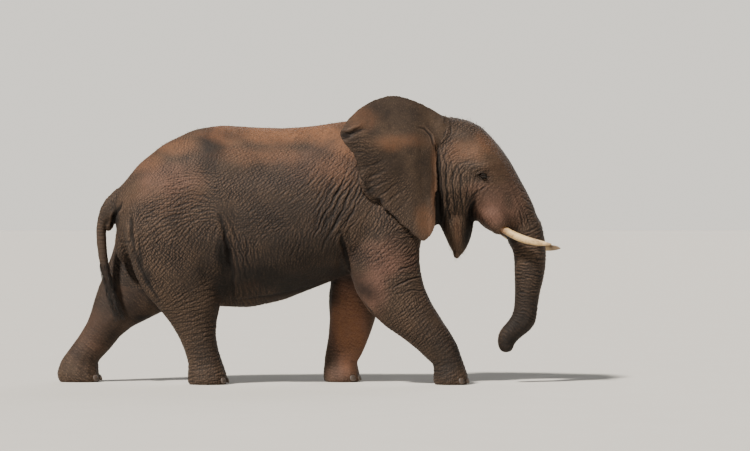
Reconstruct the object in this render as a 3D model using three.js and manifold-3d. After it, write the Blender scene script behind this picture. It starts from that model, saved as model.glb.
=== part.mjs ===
// A walking African bush elephant, a young bull, as a still life-size model.
// Millimetres. +X is forward, +Y is the animal's left, +Z is up, and the soles stand on z = 0.
// The flesh is lofted through ribs, joined into one body, and parted again with thin cuts.
import * as THREE from 'three';
import { mergeVertices } from 'three/addons/utils/BufferGeometryUtils.js';
import Module from 'manifold-3d';

// ---------------------------------------------------------------- driving dimensions

const WITHERS_HEIGHT = 2710;      // the back above the shoulders
const BELLY_HEIGHT = 785;         // the lowest point of the belly
const BARREL_HALF_WIDTH = 622;
const HEAD_HALF_WIDTH = 395;      // across the cheek bones
const STANCE_FRONT = 285;         // each fore foot from the middle plane
const STANCE_HIND = 270;
const FOOT_HALF_WIDTH = 178;
const ANKLE_HEIGHT = 190;
const SOLE_EDGE_HEIGHT = 55;      // where the foot is widest
const SOLE_INSET = 20;            // the sole is this much smaller all round
const EAR_THICKNESS = 26;
const EAR_RIM_THICKNESS = 9;
const EAR_ROOT_HALF_WIDTH = 340;  // where the ears leave the skull
const EAR_FLARE = 0.31;           // sideways travel for each millimetre backwards
const EYE_RADIUS = 21;
const EYE_PLACE = [1775, 387, 2131];
const TUSK_ROOT_RADIUS = 46;
const NAIL = { depth: 15, width: 40, height: 33, spread: 0.62, sunk: 4, lift: 12 };
const GAP = 0.4;                  // the kerf of every cut

const RIGHT = -1;
const LEFT = 1;
const UPRIGHT = new THREE.Vector3(0, 0, 1);

// ---------------------------------------------------------------- solids

const wasm = await Module();
wasm.setup();
const { Manifold, Mesh: SolidMesh } = wasm;

function solidOf(geometry) {
  const bare = new THREE.BufferGeometry();
  bare.setAttribute('position', geometry.getAttribute('position'));
  if (geometry.index) bare.setIndex(geometry.index);
  const merged = mergeVertices(bare, 1e-3);
  const vertProperties = new Float32Array(merged.attributes.position.array);
  const triVerts = new Uint32Array(merged.index.array);
  const solid = new Manifold(new SolidMesh({ numProp: 3, vertProperties, triVerts }));
  if (solid.volume() > 0) return solid;
  return new Manifold(new SolidMesh({ numProp: 3, vertProperties, triVerts: triVerts.reverse() }));
}

function geometryOf(solid) {
  const { numProp, vertProperties, triVerts } = solid.getMesh();
  const positions = new Float32Array((vertProperties.length / numProp) * 3);
  for (let i = 0; i < positions.length / 3; i++) {
    positions.set(vertProperties.subarray(i * numProp, i * numProp + 3), i * 3);
  }
  const geometry = new THREE.BufferGeometry();
  geometry.setAttribute('position', new THREE.BufferAttribute(positions, 3));
  geometry.setIndex(new THREE.BufferAttribute(new Uint32Array(triVerts), 1));
  geometry.computeVertexNormals();
  return geometry;
}

// The same solid with its surface moved outwards, for the pocket that a piece sits in. Each vertex
// moves along the plain mean of its faces' normals, so that a thin rim moves out too.
function swollen(solid, by = 3 * GAP) {
  const geometry = geometryOf(solid);
  const { position } = geometry.attributes;
  const moves = Array.from({ length: position.count }, () => new THREE.Vector3());
  const face = new THREE.Triangle();
  const normal = new THREE.Vector3();
  for (let i = 0; i < geometry.index.count; i += 3) {
    const corners = [0, 1, 2].map((k) => geometry.index.getX(i + k));
    face.setFromAttributeAndIndices(position, ...corners).getNormal(normal);
    corners.forEach((corner) => moves[corner].add(normal));
  }
  moves.forEach((move, i) => {
    move.setLength(by);
    position.setXYZ(i, position.getX(i) + move.x, position.getY(i) + move.y, position.getZ(i) + move.z);
  });
  return solidOf(geometry);
}

function largestOf(solid) {
  return solid.decompose().sort((a, b) => b.volume() - a.volume())[0];
}

// ---------------------------------------------------------------- lofts

// A rib is one cross-section of a limb or of the trunk of the body. In side view it spans from
// `front` to `back`, each [x, z]. It is `half` wide to each side of y, widest at `seat` of the way
// from back to front, and squarer than an ellipse where `power` is over 2.
function rib(front, back, half, { y = 0, seat = 0.5, power = 2 } = {}) {
  return { front, back, half, y, seat, power };
}

// Smooth values between the ribs, as a function of a place from 0 to 1 along the loft.
function splineOf(rows) {
  const curves = rows[0].map((_, k) => new THREE.SplineCurve(rows.map((r, i) => new THREE.Vector2(i, r[k]))));
  return (t) => curves.map((curve) => curve.getPoint(t).y);
}

function loft(ribs, { sides, rings }) {
  const along = splineOf(ribs.map((r) => [...r.front, ...r.back, r.half, r.y, r.seat, r.power]));
  const points = [];
  for (let i = 0; i <= rings; i++) {
    const [frontX, frontZ, backX, backZ, half, y, seat, power] = along(i / rings);
    const centreX = backX + (frontX - backX) * seat;
    const centreZ = backZ + (frontZ - backZ) * seat;
    for (let j = 0; j < sides; j++) {
      const angle = (2 * Math.PI * j) / sides;
      const c = Math.cos(angle);
      const s = Math.sin(angle);
      const r = (Math.abs(c) ** power + Math.abs(s) ** power) ** (-1 / power);
      const endX = c > 0 ? frontX : backX;
      const endZ = c > 0 ? frontZ : backZ;
      points.push(
        centreX + (endX - centreX) * Math.abs(c) * r,
        y + half * s * r,
        centreZ + (endZ - centreZ) * Math.abs(c) * r,
      );
    }
  }
  return tubeGeometry(points, sides, rings);
}

// A closed tube of rings, with a fan of triangles over each end.
function tubeGeometry(points, sides, rings) {
  const faces = [];
  for (let i = 0; i < rings; i++) {
    for (let j = 0; j < sides; j++) {
      const next = (j + 1) % sides;
      const [a, b] = [i * sides + j, i * sides + next];
      const [c, d] = [a + sides, b + sides];
      faces.push(a, b, d, a, d, c);
    }
  }
  for (const [ring, flip] of [[0, true], [rings, false]]) {
    const centre = points.length / 3;
    const first = ring * sides;
    const middle = [0, 0, 0];
    for (let j = 0; j < sides; j++) {
      for (let k = 0; k < 3; k++) middle[k] += points[(first + j) * 3 + k] / sides;
      const [a, b] = [first + j, first + ((j + 1) % sides)];
      if (flip) faces.push(centre, b, a);
      else faces.push(centre, a, b);
    }
    points.push(...middle);
  }
  const geometry = new THREE.BufferGeometry();
  geometry.setAttribute('position', new THREE.Float32BufferAttribute(points, 3));
  geometry.setIndex(faces);
  return geometry;
}

function ellipsoid(centre, radii, [columns, rows] = [16, 10], turn = [0, 0, 0]) {
  return new THREE.SphereGeometry(1, columns, rows)
    .rotateX(Math.PI / 2)
    .scale(...radii)
    .rotateX(turn[0])
    .rotateY(turn[1])
    .rotateZ(turn[2])
    .translate(...centre);
}

// ---------------------------------------------------------------- flesh

function torso() {
  return loft([
    rib([-1985, 1890], [-1975, 1560], 120, { seat: 0.6 }),
    rib([-1880, 2110], [-1900, 1330], 320, { seat: 0.5 }),
    rib([-1600, 2400], [-1640, 1090], 500, { seat: 0.45 }),
    rib([-1200, 2618], [-1240, 880], 580, { seat: 0.42 }),
    rib([-840, 2672], [-860, BELLY_HEIGHT], 610, { seat: 0.4 }),
    rib([-420, 2636], [-440, 805], BARREL_HALF_WIDTH, { seat: 0.4 }),
    rib([-20, 2652], [0, 962], 612, { seat: 0.38 }),
    rib([380, WITHERS_HEIGHT], [400, 1115], 560, { seat: 0.34 }),
    rib([760, 2745], [800, 1165], 485, { seat: 0.33 }),
    rib([1010, 2600], [1080, 1230], 385, { seat: 0.35 }),
    rib([1120, 2150], [1165, 1420], 220, { seat: 0.4 }),
  ], { sides: 22, rings: 13 });
}

function neck() {
  return loft([
    rib([560, 2640], [760, 1550], 360),
    rib([860, 2766], [960, 1460], 420),
    rib([1150, 2787], [1200, 1545], 390),
    rib([1380, 2715], [1380, 1680], 315),
    rib([1480, 2580], [1460, 1780], 230),
  ], { sides: 18, rings: 5 });
}

// The skull runs forwards out of the neck, then turns down over the brow into the trunk.
function skull() {
  const cheek = HEAD_HALF_WIDTH;
  return loft([
    rib([1150, 2620], [1200, 1820], 0.6 * cheek),
    rib([1345, 2764], [1340, 1630], 0.89 * cheek),
    rib([1560, 2742], [1480, 1650], 0.94 * cheek, { seat: 0.5, power: 2.1 }),
    rib([1740, 2688], [1610, 1715], cheek, { seat: 0.5, power: 2.2 }),
    rib([1868, 2578], [1690, 1735], cheek, { seat: 0.48, power: 2.2 }),
    rib([2003, 2423], [1752, 1682], 0.94 * cheek, { seat: 0.45, power: 2.2 }),
    rib([2112, 2263], [1830, 1602], 0.85 * cheek, { seat: 0.42, power: 2.1 }),
    rib([2216, 2067], [1925, 1556], 0.72 * cheek, { seat: 0.45 }),
    rib([2323, 1870], [2008, 1530], 0.61 * cheek),
    rib([2366, 1720], [2092, 1500], 0.47 * cheek),
    rib([2360, 1610], [2160, 1480], 0.32 * cheek),
  ], { sides: 16, rings: 12 });
}

function trunk() {
  return loft([
    rib([2262, 1860], [2060, 1610], 205),
    rib([2398, 1702], [2062, 1462], 212),
    rib([2442, 1520], [2112, 1385], 192),
    rib([2455, 1330], [2132, 1270], 172),
    rib([2436, 1110], [2134, 1080], 150),
    rib([2398, 930], [2138, 900], 132),
    rib([2370, 765], [2124, 750], 120),
    rib([2308, 590], [2080, 655], 112),
    rib([2200, 474], [2000, 565], 104),
    rib([2136, 405], [1960, 470], 92),
    rib([2118, 345], [1972, 362], 80),
    rib([2075, 318], [2012, 322], 50),
  ], { sides: 12, rings: 18 });
}

function jaw() {
  return loft([
    rib([1700, 1900], [1330, 1900], 240),
    rib([1718, 1720], [1350, 1680], 225),
    rib([1702, 1570], [1415, 1520], 165),
    rib([1655, 1420], [1478, 1385], 92),
    rib([1578, 1312], [1538, 1302], 30),
  ], { sides: 12, rings: 6 });
}

// The sheath of skin and bone that each tusk grows out of.
function tuskSheath(side) {
  return ellipsoid([1915, side * 238, 1740], [120, 108, 235], [9, 6], [0, -0.45, 0]);
}

function brow(side) {
  return ellipsoid([1800, side * 305, 2215], [150, 88, 62], [8, 5], [0, 0.55, 0]);
}

function tail() {
  return loft([
    rib([-1900, 2080], [-1840, 1780], 100),
    rib([-2050, 1960], [-1960, 1668], 92),
    rib([-2138, 1842], [-2030, 1655], 80),
    rib([-2178, 1710], [-2088, 1630], 54),
    rib([-2184, 1545], [-2098, 1525], 43),
    rib([-2166, 1350], [-2086, 1335], 38),
    rib([-2128, 1150], [-2058, 1130], 33),
    rib([-2085, 960], [-2003, 935], 34),
    rib([-2022, 790], [-1958, 765], 30),
    rib([-1968, 690], [-1945, 682], 10),
  ], { sides: 7, rings: 12 });
}

// ---------------------------------------------------------------- legs

// The ankle flares into a round foot, which is widest just above the flat sole.
function footRibs({ toe, heel, y }) {
  const half = FOOT_HALF_WIDTH;
  const inset = SOLE_INSET;
  return [
    rib([toe - 42, ANKLE_HEIGHT], [heel + 14, ANKLE_HEIGHT], 0.85 * half, { y, power: 2.1 }),
    rib([toe, SOLE_EDGE_HEIGHT], [heel, SOLE_EDGE_HEIGHT], half, { y, power: 2.2 }),
    rib([toe - inset, 0], [heel + inset, 0], half - inset, { y, power: 2.2 }),
  ];
}

const LEGS = {
  fore_right: {
    foot: { toe: 1655, heel: 1285, y: RIGHT * STANCE_FRONT },
    nails: 4,
    ribs: [
      rib([1060, 2250], [620, 2300], 130, { y: -270 }),
      rib([1150, 1900], [480, 1900], 200, { y: -305 }),
      rib([1158, 1500], [402, 1480], 215, { y: -325 }),
      rib([1160, 1180], [430, 1130], 210, { y: -328 }),
      rib([1240, 910], [560, 830], 205, { y: -320 }),
      rib([1340, 735], [800, 592], 186, { y: -310 }),
      rib([1430, 590], [1040, 430], 168, { y: -300 }),
      rib([1530, 435], [1200, 282], 156, { y: -290 }),
    ],
  },
  fore_left: {
    foot: { toe: 545, heel: 150, y: LEFT * STANCE_FRONT },
    nails: 4,
    ribs: [
      rib([1040, 2250], [600, 2300], 130, { y: 270 }),
      rib([1125, 1900], [440, 1880], 200, { y: 305 }),
      rib([1085, 1500], [330, 1450], 215, { y: 325 }),
      rib([940, 1220], [240, 1170], 210, { y: 328 }),
      rib([765, 950], [206, 930], 205, { y: 315 }),
      rib([700, 660], [216, 660], 186, { y: 300 }),
      rib([630, 455], [202, 455], 168, { y: 290 }),
      rib([560, 290], [170, 290], 155, { y: 287 }),
    ],
  },
  hind_right: {
    foot: { toe: -815, heel: -1235, y: RIGHT * STANCE_HIND },
    nails: 3,
    ribs: [
      rib([-1150, 2300], [-1600, 2230], 130, { y: -270 }),
      rib([-1000, 1980], [-1800, 1940], 225, { y: -320 }),
      rib([-930, 1660], [-1885, 1650], 268, { y: -345 }),
      rib([-918, 1330], [-1822, 1300], 268, { y: -345 }),
      rib([-905, 1040], [-1722, 1010], 242, { y: -330 }),
      rib([-888, 800], [-1520, 770], 205, { y: -305 }),
      rib([-938, 590], [-1372, 575], 172, { y: -285 }),
      rib([-918, 385], [-1275, 380], 155, { y: -272 }),
    ],
  },
  hind_left: {
    foot: { toe: -2165, heel: -2618, y: LEFT * STANCE_HIND },
    nails: 3,
    ribs: [
      rib([-1180, 2300], [-1650, 2230], 130, { y: 270 }),
      rib([-1050, 1980], [-1860, 1940], 225, { y: 320 }),
      rib([-1040, 1600], [-1995, 1600], 265, { y: 340 }),
      rib([-1130, 1225], [-2080, 1290], 255, { y: 335 }),
      rib([-1300, 862], [-2182, 1050], 230, { y: 322 }),
      rib([-1625, 680], [-2250, 840], 196, { y: 308 }),
      rib([-1905, 535], [-2290, 680], 170, { y: 292 }),
      rib([-2035, 380], [-2370, 520], 156, { y: 280 }),
    ],
  },
};

function leg({ ribs, foot }) {
  return loft([...ribs, ...footRibs(foot)], { sides: 12, rings: 14 });
}

// ---------------------------------------------------------------- ears, eyes, tusks, nails

// The outline of the ear in side view, from its root over the crown and back to the root.
const EAR_OUTLINE = [
  [1440, 2745], [1279, 2840], [1132, 2901], [985, 2957], [859, 2968], [724, 2937],
  [598, 2877], [474, 2781], [392, 2690], [345, 2548], [392, 2424], [464, 2373],
  [500, 2239], [547, 2094], [630, 1960], [754, 1856], [879, 1700], [1065, 1555],
  [1149, 1472], [1202, 1462], [1254, 1524], [1295, 1640], [1316, 1850], [1318, 2150],
  [1300, 2400], [1385, 2600],
].map(([x, z]) => new THREE.Vector2(x, z));
const EAR_CENTRE = new THREE.Vector2(960, 2260);
const EAR_CREASES = { height: 14, pitch: 210 };

// How far the ear's sheet stands from the middle plane: it flares backwards, leans in at the
// crown, hangs in a little at the lobe, and ripples towards its free edge.
function earStand(x, z) {
  const back = Math.max(0, 1300 - x);
  const crown = Math.max(0, z - 2480);
  const lobe = Math.max(0, 1900 - z);
  const ripple = Math.sin((z + 0.45 * x) / EAR_CREASES.pitch * 2 * Math.PI);
  const freedom = Math.min(1, back / 700) * (crown > 0 ? 0.4 : 1);
  return EAR_ROOT_HALF_WIDTH + EAR_FLARE * back + 60 * Math.min(1, back / 200)
    - 0.42 * crown + 0.22 * lobe + EAR_CREASES.height * ripple * freedom;
}

function ear(side) {
  const around = 30;
  const outline = new THREE.SplineCurve([...EAR_OUTLINE, EAR_OUTLINE[0]]);
  const shares = [0.35, 0.7, 1];
  const rings = [...shares, ...[...shares].reverse()];
  const points = [];
  rings.forEach((share, i) => {
    const face = i < shares.length ? 1 : -1;
    const thickness = THREE.MathUtils.lerp(EAR_THICKNESS, EAR_RIM_THICKNESS, share ** 3);
    for (let j = 0; j < around; j++) {
      const edge = outline.getPoint(j / around);
      const spot = EAR_CENTRE.clone().lerp(edge, share);
      points.push(spot.x, side * (earStand(spot.x, spot.y) + (face * thickness) / 2), spot.y);
    }
  });
  return tubeGeometry(points, around, rings.length - 1);
}

function eye(side) {
  const [x, y, z] = EYE_PLACE;
  return new THREE.SphereGeometry(EYE_RADIUS, 9, 6).translate(x, side * y, z);
}

// The right tusk is the more worn one: it is shorter and curves up more.
const TUSK_PATHS = {
  [RIGHT]: [[1880, 232, 1680], [2020, 262, 1578], [2195, 300, 1510], [2350, 326, 1462], [2508, 340, 1430]],
  [LEFT]: [[1880, 232, 1668], [2030, 262, 1556], [2230, 305, 1452], [2420, 335, 1398], [2627, 350, 1389]],
};

function tusk(side) {
  const path = new THREE.CatmullRomCurve3(
    TUSK_PATHS[side].map(([x, y, z]) => new THREE.Vector3(x, side * y, z)),
  );
  const rings = 9;
  const sides = 8;
  const points = [];
  for (let i = 0; i <= rings; i++) {
    const centre = path.getPointAt(i / rings);
    const tangent = path.getTangentAt(i / rings);
    const across = new THREE.Vector3().crossVectors(UPRIGHT, tangent).normalize();
    const up = new THREE.Vector3().crossVectors(tangent, across);
    const radius = TUSK_ROOT_RADIUS * Math.max(0.13, (1 - (i / rings) ** 3) ** 0.75);
    for (let j = 0; j < sides; j++) {
      const angle = (2 * Math.PI * j) / sides;
      const spot = centre.clone()
        .addScaledVector(up, radius * Math.cos(angle))
        .addScaledVector(across, radius * Math.sin(angle));
      points.push(...spot.toArray());
    }
  }
  return tubeGeometry(points, sides, rings);
}

// Nails sit side by side round the front edge of a foot.
function footNails({ foot, nails }) {
  const middle = (foot.toe + foot.heel) / 2;
  const reach = (foot.toe - foot.heel) / 2;
  return Array.from({ length: nails }, (_, i) => {
    const angle = NAIL.spread * (i - (nails - 1) / 2);
    const centre = [
      middle + (reach - NAIL.sunk) * Math.cos(angle),
      foot.y + (FOOT_HALF_WIDTH - NAIL.sunk) * Math.sin(angle),
      NAIL.height + NAIL.lift,
    ];
    return ellipsoid(centre, [NAIL.depth, NAIL.width, NAIL.height], [6, 4], [0, -0.12, angle]);
  });
}

// ---------------------------------------------------------------- cuts

// A straight prism, `by` larger all round than its outline says. The outline is [x, z] in a prism
// that runs along y, and [y, z] in one that runs along x.
function prism(axis, outline, from, to, by = 0) {
  const centre = new THREE.Vector2();
  outline.forEach(([a, b]) => centre.add(new THREE.Vector2(a, b)));
  centre.divideScalar(outline.length);
  const corners = outline.map(([a, b]) => {
    const corner = new THREE.Vector2(a, b);
    return corner.addScaledVector(corner.clone().sub(centre).normalize(), 2 * by);
  });
  const geometry = new THREE.ExtrudeGeometry(new THREE.Shape(corners), {
    depth: to - from + 2 * by,
    bevelEnabled: false,
  });
  if (axis === 'x') return geometry.translate(0, 0, from - by).rotateX(Math.PI / 2).rotateZ(Math.PI / 2);
  return geometry.translate(0, 0, -to - by).rotateX(Math.PI / 2);
}

const FLANK_X = 397;              // the barrel ends at the elbow in front
const FOLD_X = -908;              // and at the skin fold of the flank behind
const ELBOW_HEIGHT = 960;
const KNEE_HEIGHT = 760;
const WIDE = [-900, 900];

// Where each upper leg parts from the body: the run along x, and the heights at which the slanting
// cut starts by the middle plane and ends by the flank.
const UPPER_LEGS = {
  fore_right: { from: FLANK_X, to: 1400, inner: 1060, outer: 1800 },
  fore_left: { from: 230, to: 1400, inner: 1060, outer: 1800 },
  hind_right: { from: -2400, to: FOLD_X, inner: 880, outer: 1720 },
  hind_left: { from: -2400, to: -1035, inner: 880, outer: 1720 },
};

function legCuts(name) {
  const side = Math.sign(LEGS[name].foot.y);
  const { from, to, inner, outer } = UPPER_LEGS[name];
  const [joint, run] = from > 0 ? [ELBOW_HEIGHT, [110, 1750]] : [KNEE_HEIGHT, [-2750, -700]];
  const across = side < 0 ? [-900, -4] : [4, 900];
  const slice = (low, high) => [[run[0], low], [run[1], low], [run[1], high], [run[0], high]];
  const wedge = [[20, 600], [20, inner], [700, outer], [900, outer], [900, 600]];
  return [
    [`foot_${name}`, 'y', slice(-20, ANKLE_HEIGHT + 30), across],
    [`leg_${name}_lower`, 'y', slice(ANKLE_HEIGHT + 30, joint), across],
    [`leg_${name}_upper`, 'x', wedge.map(([y, z]) => [side * y, z]), [from, to]],
  ];
}

// What each cut takes from the flesh, in the order of the cuts.
const CUTS = [
  ['trunk_tip', 'y', [[1850, 200], [2600, 200], [2600, 779], [1850, 733]], WIDE],
  ['trunk_middle', 'y', [[1850, 733], [2600, 779], [2600, 1290], [1850, 1200]], WIDE],
  ['trunk_upper', 'y', [[1900, 1206], [2600, 1290], [2600, 1846], [1900, 1346]], WIDE],
  ['jaw', 'y', [[1290, 1250], [1724, 1250], [1724, 1768], [1290, 1700]], WIDE],
  ['tail_root', 'y', [[-2300, 1490], [-1990, 1490], [-1940, 2150], [-2300, 2150]], [-140, 140]],
  ['tail_middle', 'y', [[-2300, 1095], [-2000, 1095], [-2040, 1490], [-2300, 1490]], [-62, 62]],
  ['tail_tuft', 'y', [[-2300, 600], [-1900, 600], [-2000, 1095], [-2300, 1095]], [-62, 62]],
  ...Object.keys(LEGS).flatMap(legCuts),
  ['head', 'y', [[1245, 1250], [2700, 1250], [2700, 3000], [1410, 3000]], WIDE],
  ['neck', 'y', [[1140, 1250], [1400, 1250], [1600, 3000], [640, 3000]], WIDE],
  ['torso_rump', 'y', [[-2300, 500], [FOLD_X, 500], [FOLD_X, 3000], [-2300, 3000]], WIDE],
  ['torso_barrel', 'y', [[-1000, 500], [FLANK_X, 500], [FLANK_X, 3000], [-1000, 3000]], WIDE],
];

// ---------------------------------------------------------------- the model

const LOOKS = {
  skin: { color: 0x6b5548, roughness: 0.92, metalness: 0 },
  hair: { color: 0x1d1815, roughness: 0.7, metalness: 0 },
  ivory: { color: 0xe2cfae, roughness: 0.45, metalness: 0 },
  nail: { color: 0x8a7a68, roughness: 0.6, metalness: 0 },
  eye: { color: 0x2a1a10, roughness: 0.12, metalness: 0 },
};

// The pieces that are made whole and then let into the flesh, as [name, solid, look].
function letInPieces() {
  const pieces = [];
  for (const [word, side] of [['right', RIGHT], ['left', LEFT]]) {
    pieces.push([`ear_${word}`, ear(side), 'skin']);
    pieces.push([`eye_${word}`, eye(side), 'eye']);
    pieces.push([`tusk_${word}`, tusk(side), 'ivory']);
  }
  for (const [name, limb] of Object.entries(LEGS)) {
    footNails(limb).forEach((nail, i) => pieces.push([`nail_${name}_${i + 1}`, nail, 'nail']));
  }
  return pieces.map(([name, geometry, look]) => [name, solidOf(geometry), look]);
}

function wholeFlesh() {
  const lofts = [torso(), neck(), skull(), trunk(), jaw(), tail(), ...Object.values(LEGS).map(leg)];
  for (const side of [RIGHT, LEFT]) lofts.push(tuskSheath(side), brow(side));
  return Manifold.union(lofts.map(solidOf));
}

// The flesh with a pocket for each let-in piece, parted by the cuts. The chest is what is left.
function fleshPieces(letIn) {
  let flesh = wholeFlesh().subtract(Manifold.union(letIn.map(([, solid]) => swollen(solid))));
  const pieces = [];
  for (const [name, axis, outline, [from, to]] of CUTS) {
    const taken = flesh.intersect(solidOf(prism(axis, outline, from, to)));
    pieces.push([name, largestOf(taken), name === 'tail_tuft' ? 'hair' : 'skin']);
    flesh = flesh.subtract(solidOf(prism(axis, outline, from, to, GAP)));
  }
  return [...pieces, ['torso_chest', largestOf(flesh), 'skin']];
}

// Each region is a group of its own.
const REGIONS = {
  head: /^(head|jaw|neck|trunk|ear|eye|tusk)/,
  body: /^torso/,
  tail: /^tail/,
  legs: /^(leg|foot|nail)/,
};

function build() {
  const letIn = letInPieces();
  const pieces = [...letIn, ...fleshPieces(letIn)];
  const elephant = new THREE.Group();
  for (const pattern of Object.values(REGIONS)) {
    const region = new THREE.Group();
    for (const [name, solid, look] of pieces.filter(([piece]) => pattern.test(piece))) {
      const mesh = new THREE.Mesh(geometryOf(solid), new THREE.MeshStandardMaterial(LOOKS[look]));
      mesh.name = name;
      region.add(mesh);
    }
    elephant.add(region);
  }
  // The origin is on the ground, under the middle of the whole animal.
  const box = new THREE.Box3().setFromObject(elephant);
  const centre = box.getCenter(new THREE.Vector3());
  elephant.position.set(-centre.x, -centre.y, -box.min.z);
  return elephant;
}

export default build();
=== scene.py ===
"""A walking African elephant, life size and still, as a museum shows one.

The skin is one closed surface grown from the solids of flesh: they are joined, evened out, and
then folded and creased. Lengths are in metres. +X is towards the head, the right side is at -Y.
"""
import math
import bmesh
import bpy
import numpy as np
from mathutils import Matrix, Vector
from mathutils.bvhtree import BVHTree


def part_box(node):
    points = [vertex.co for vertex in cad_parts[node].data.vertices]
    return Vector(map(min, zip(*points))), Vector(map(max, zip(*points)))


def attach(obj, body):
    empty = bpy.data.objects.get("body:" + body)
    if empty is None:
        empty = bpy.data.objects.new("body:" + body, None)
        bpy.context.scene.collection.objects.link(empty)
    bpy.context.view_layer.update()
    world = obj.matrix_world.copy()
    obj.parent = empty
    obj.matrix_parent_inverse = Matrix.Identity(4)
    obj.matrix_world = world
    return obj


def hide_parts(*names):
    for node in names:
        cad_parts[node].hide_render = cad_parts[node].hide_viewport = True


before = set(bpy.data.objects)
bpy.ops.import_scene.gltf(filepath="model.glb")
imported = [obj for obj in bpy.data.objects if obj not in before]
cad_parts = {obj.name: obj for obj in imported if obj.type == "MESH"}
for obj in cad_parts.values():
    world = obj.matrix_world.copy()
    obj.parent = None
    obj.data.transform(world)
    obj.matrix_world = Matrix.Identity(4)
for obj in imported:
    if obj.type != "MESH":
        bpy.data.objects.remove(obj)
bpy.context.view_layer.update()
rng = np.random.default_rng(7)

MM = 0.001
ROUGH_GRID = 15 * MM
EAR_GRID = 12 * MM
SKIN_GRID = 8 * MM
# how far the solids are moved out so that they overlap; the ears' spare is taken off again, and
# the tuft of the tail is mostly hair, so its flesh is thinner than its solid
OVERLAP = 3 * MM
EAR_SPARE = 6.5 * MM
TUFT_SPARE = -6 * MM
SIDES = {"right": -1, "left": 1}

LEGS = ("fore_right", "fore_left", "hind_right", "hind_left")
EARS = ("ear_right", "ear_left")
BODY = ["torso_chest", "torso_barrel", "torso_rump", "neck", "head", "jaw", "trunk_upper",
        "trunk_middle", "trunk_tip", "tail_root", "tail_middle", "tail_tuft"]
for leg in LEGS:
    BODY += [f"leg_{leg}_upper", f"leg_{leg}_lower", f"foot_{leg}"]
FLESH = [*BODY, *EARS]


# ---------------------------------------------------------------- surfaces as arrays

def shape_of(mesh):
    """A mesh's points, and the point numbers round its faces in one row."""
    points = np.empty(len(mesh.vertices) * 3, np.float32)
    mesh.vertices.foreach_get("co", points)
    corners = np.empty(len(mesh.loops), np.int32)
    mesh.loops.foreach_get("vertex_index", corners)
    return points.reshape(-1, 3).astype(float), corners


def piece(name, points, faces):
    """A new smooth-shaded object from its points and faces, all with one count of sides."""
    faces = np.asarray(faces, np.int32)
    mesh = bpy.data.meshes.new(name)
    mesh.vertices.add(len(points))
    mesh.vertices.foreach_set("co", np.asarray(points, np.float32).ravel())
    mesh.loops.add(faces.size)
    mesh.loops.foreach_set("vertex_index", faces.ravel())
    mesh.polygons.add(len(faces))
    starts = np.arange(0, faces.size, faces.shape[1], dtype=np.int32)
    mesh.polygons.foreach_set("loop_start", starts)
    mesh.update(calc_edges=True)
    mesh.shade_smooth()
    made = bpy.data.objects.new(name, mesh)
    bpy.context.scene.collection.objects.link(made)
    return made


def mark(obj, name, values):
    """A number for each point of a piece, for its material to read."""
    kept = obj.data.attributes.new(name, "FLOAT", "POINT")
    kept.data.foreach_set("value", np.asarray(values, np.float32))


def edges_of(faces):
    """Each edge once, as two rows of point numbers."""
    count = faces.shape[1]
    pairs = np.concatenate([faces[:, [i, (i + 1) % count]] for i in range(count)])
    pairs = np.sort(pairs, axis=1).astype(np.int64)
    key = np.unique(pairs[:, 0] * (1 << 32) + pairs[:, 1])
    return key >> 32, key & 0xFFFFFFFF


def unit(v):
    """Vectors made one long."""
    return v / np.maximum(np.linalg.norm(v, axis=-1, keepdims=True), 1e-9)


def normals_of(points, faces):
    """The outward direction at each point of a surface of four-sided faces."""
    a, b, c, d = (points[faces[:, i]] for i in range(4))
    across = np.cross(c - a, d - b)
    total = np.zeros_like(points)
    for i in range(4):
        for k in range(3):
            total[:, k] += np.bincount(faces[:, i], across[:, k], len(points))
    return unit(total)


def evened(values, edges, rounds, rate=0.5):
    """Values spread over the surface: each point moves towards the mean of its neighbours."""
    a, b = edges
    out = values.reshape(len(values), -1).astype(float)
    size = len(out)
    count = np.maximum(np.bincount(a, minlength=size) + np.bincount(b, minlength=size), 1)
    share = np.broadcast_to(np.asarray(rate, float), size)
    for _ in range(rounds):
        for k in range(out.shape[1]):
            v = out[:, k]
            mean = (np.bincount(a, v[b], size) + np.bincount(b, v[a], size)) / count
            out[:, k] = v + share * (mean - v)
    return out.reshape(values.shape)


def evened_near(values, edges, rounds, rate):
    """The same where the rate isn't nought, and quick where that is a small part."""
    a, b = edges
    near = rate > 0.001
    keep = near[a] | near[b]
    used = np.unique(np.concatenate([a[keep], b[keep]]))
    place = np.full(len(values), -1)
    place[used] = np.arange(len(used))
    out = values.astype(float)
    out[used] = evened(out[used], (place[a[keep]], place[b[keep]]), rounds, rate[used])
    return out


def soft_step(low, high, value):
    """0 below low, 1 above high, and smooth between them."""
    t = np.clip((value - low) / (high - low), 0, 1)
    return t * t * (3 - 2 * t)


def drift(points, size, seed, waves=14):
    """Slow even noise of about the given wave length, roughly -1 to 1, the same on every run."""
    own_rng = np.random.default_rng(seed)
    total = np.zeros(len(points))
    for _ in range(waves):
        way = own_rng.normal(size=3)
        way *= 2 * math.pi / (size * own_rng.uniform(0.7, 1.5)) / np.linalg.norm(way)
        total += np.sin(points @ way + own_rng.uniform(0, 7))
    return total / math.sqrt(waves / 2) / 1.6


def curve_through(points, count):
    """A smooth line of so many points through the given ones."""
    p = np.array(points, float)
    p = np.concatenate([[2 * p[0] - p[1]], p, [2 * p[-1] - p[-2]]])
    at = np.linspace(0, len(points) - 1 - 1e-6, count)
    i = at.astype(int)
    t = (at - i)[:, None]
    a, b, c, d = p[i], p[i + 1], p[i + 2], p[i + 3]
    return b + 0.5 * t * (c - a + t * (2 * a - 5 * b + 4 * c - d + t * (3 * (b - c) + d - a)))


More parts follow.
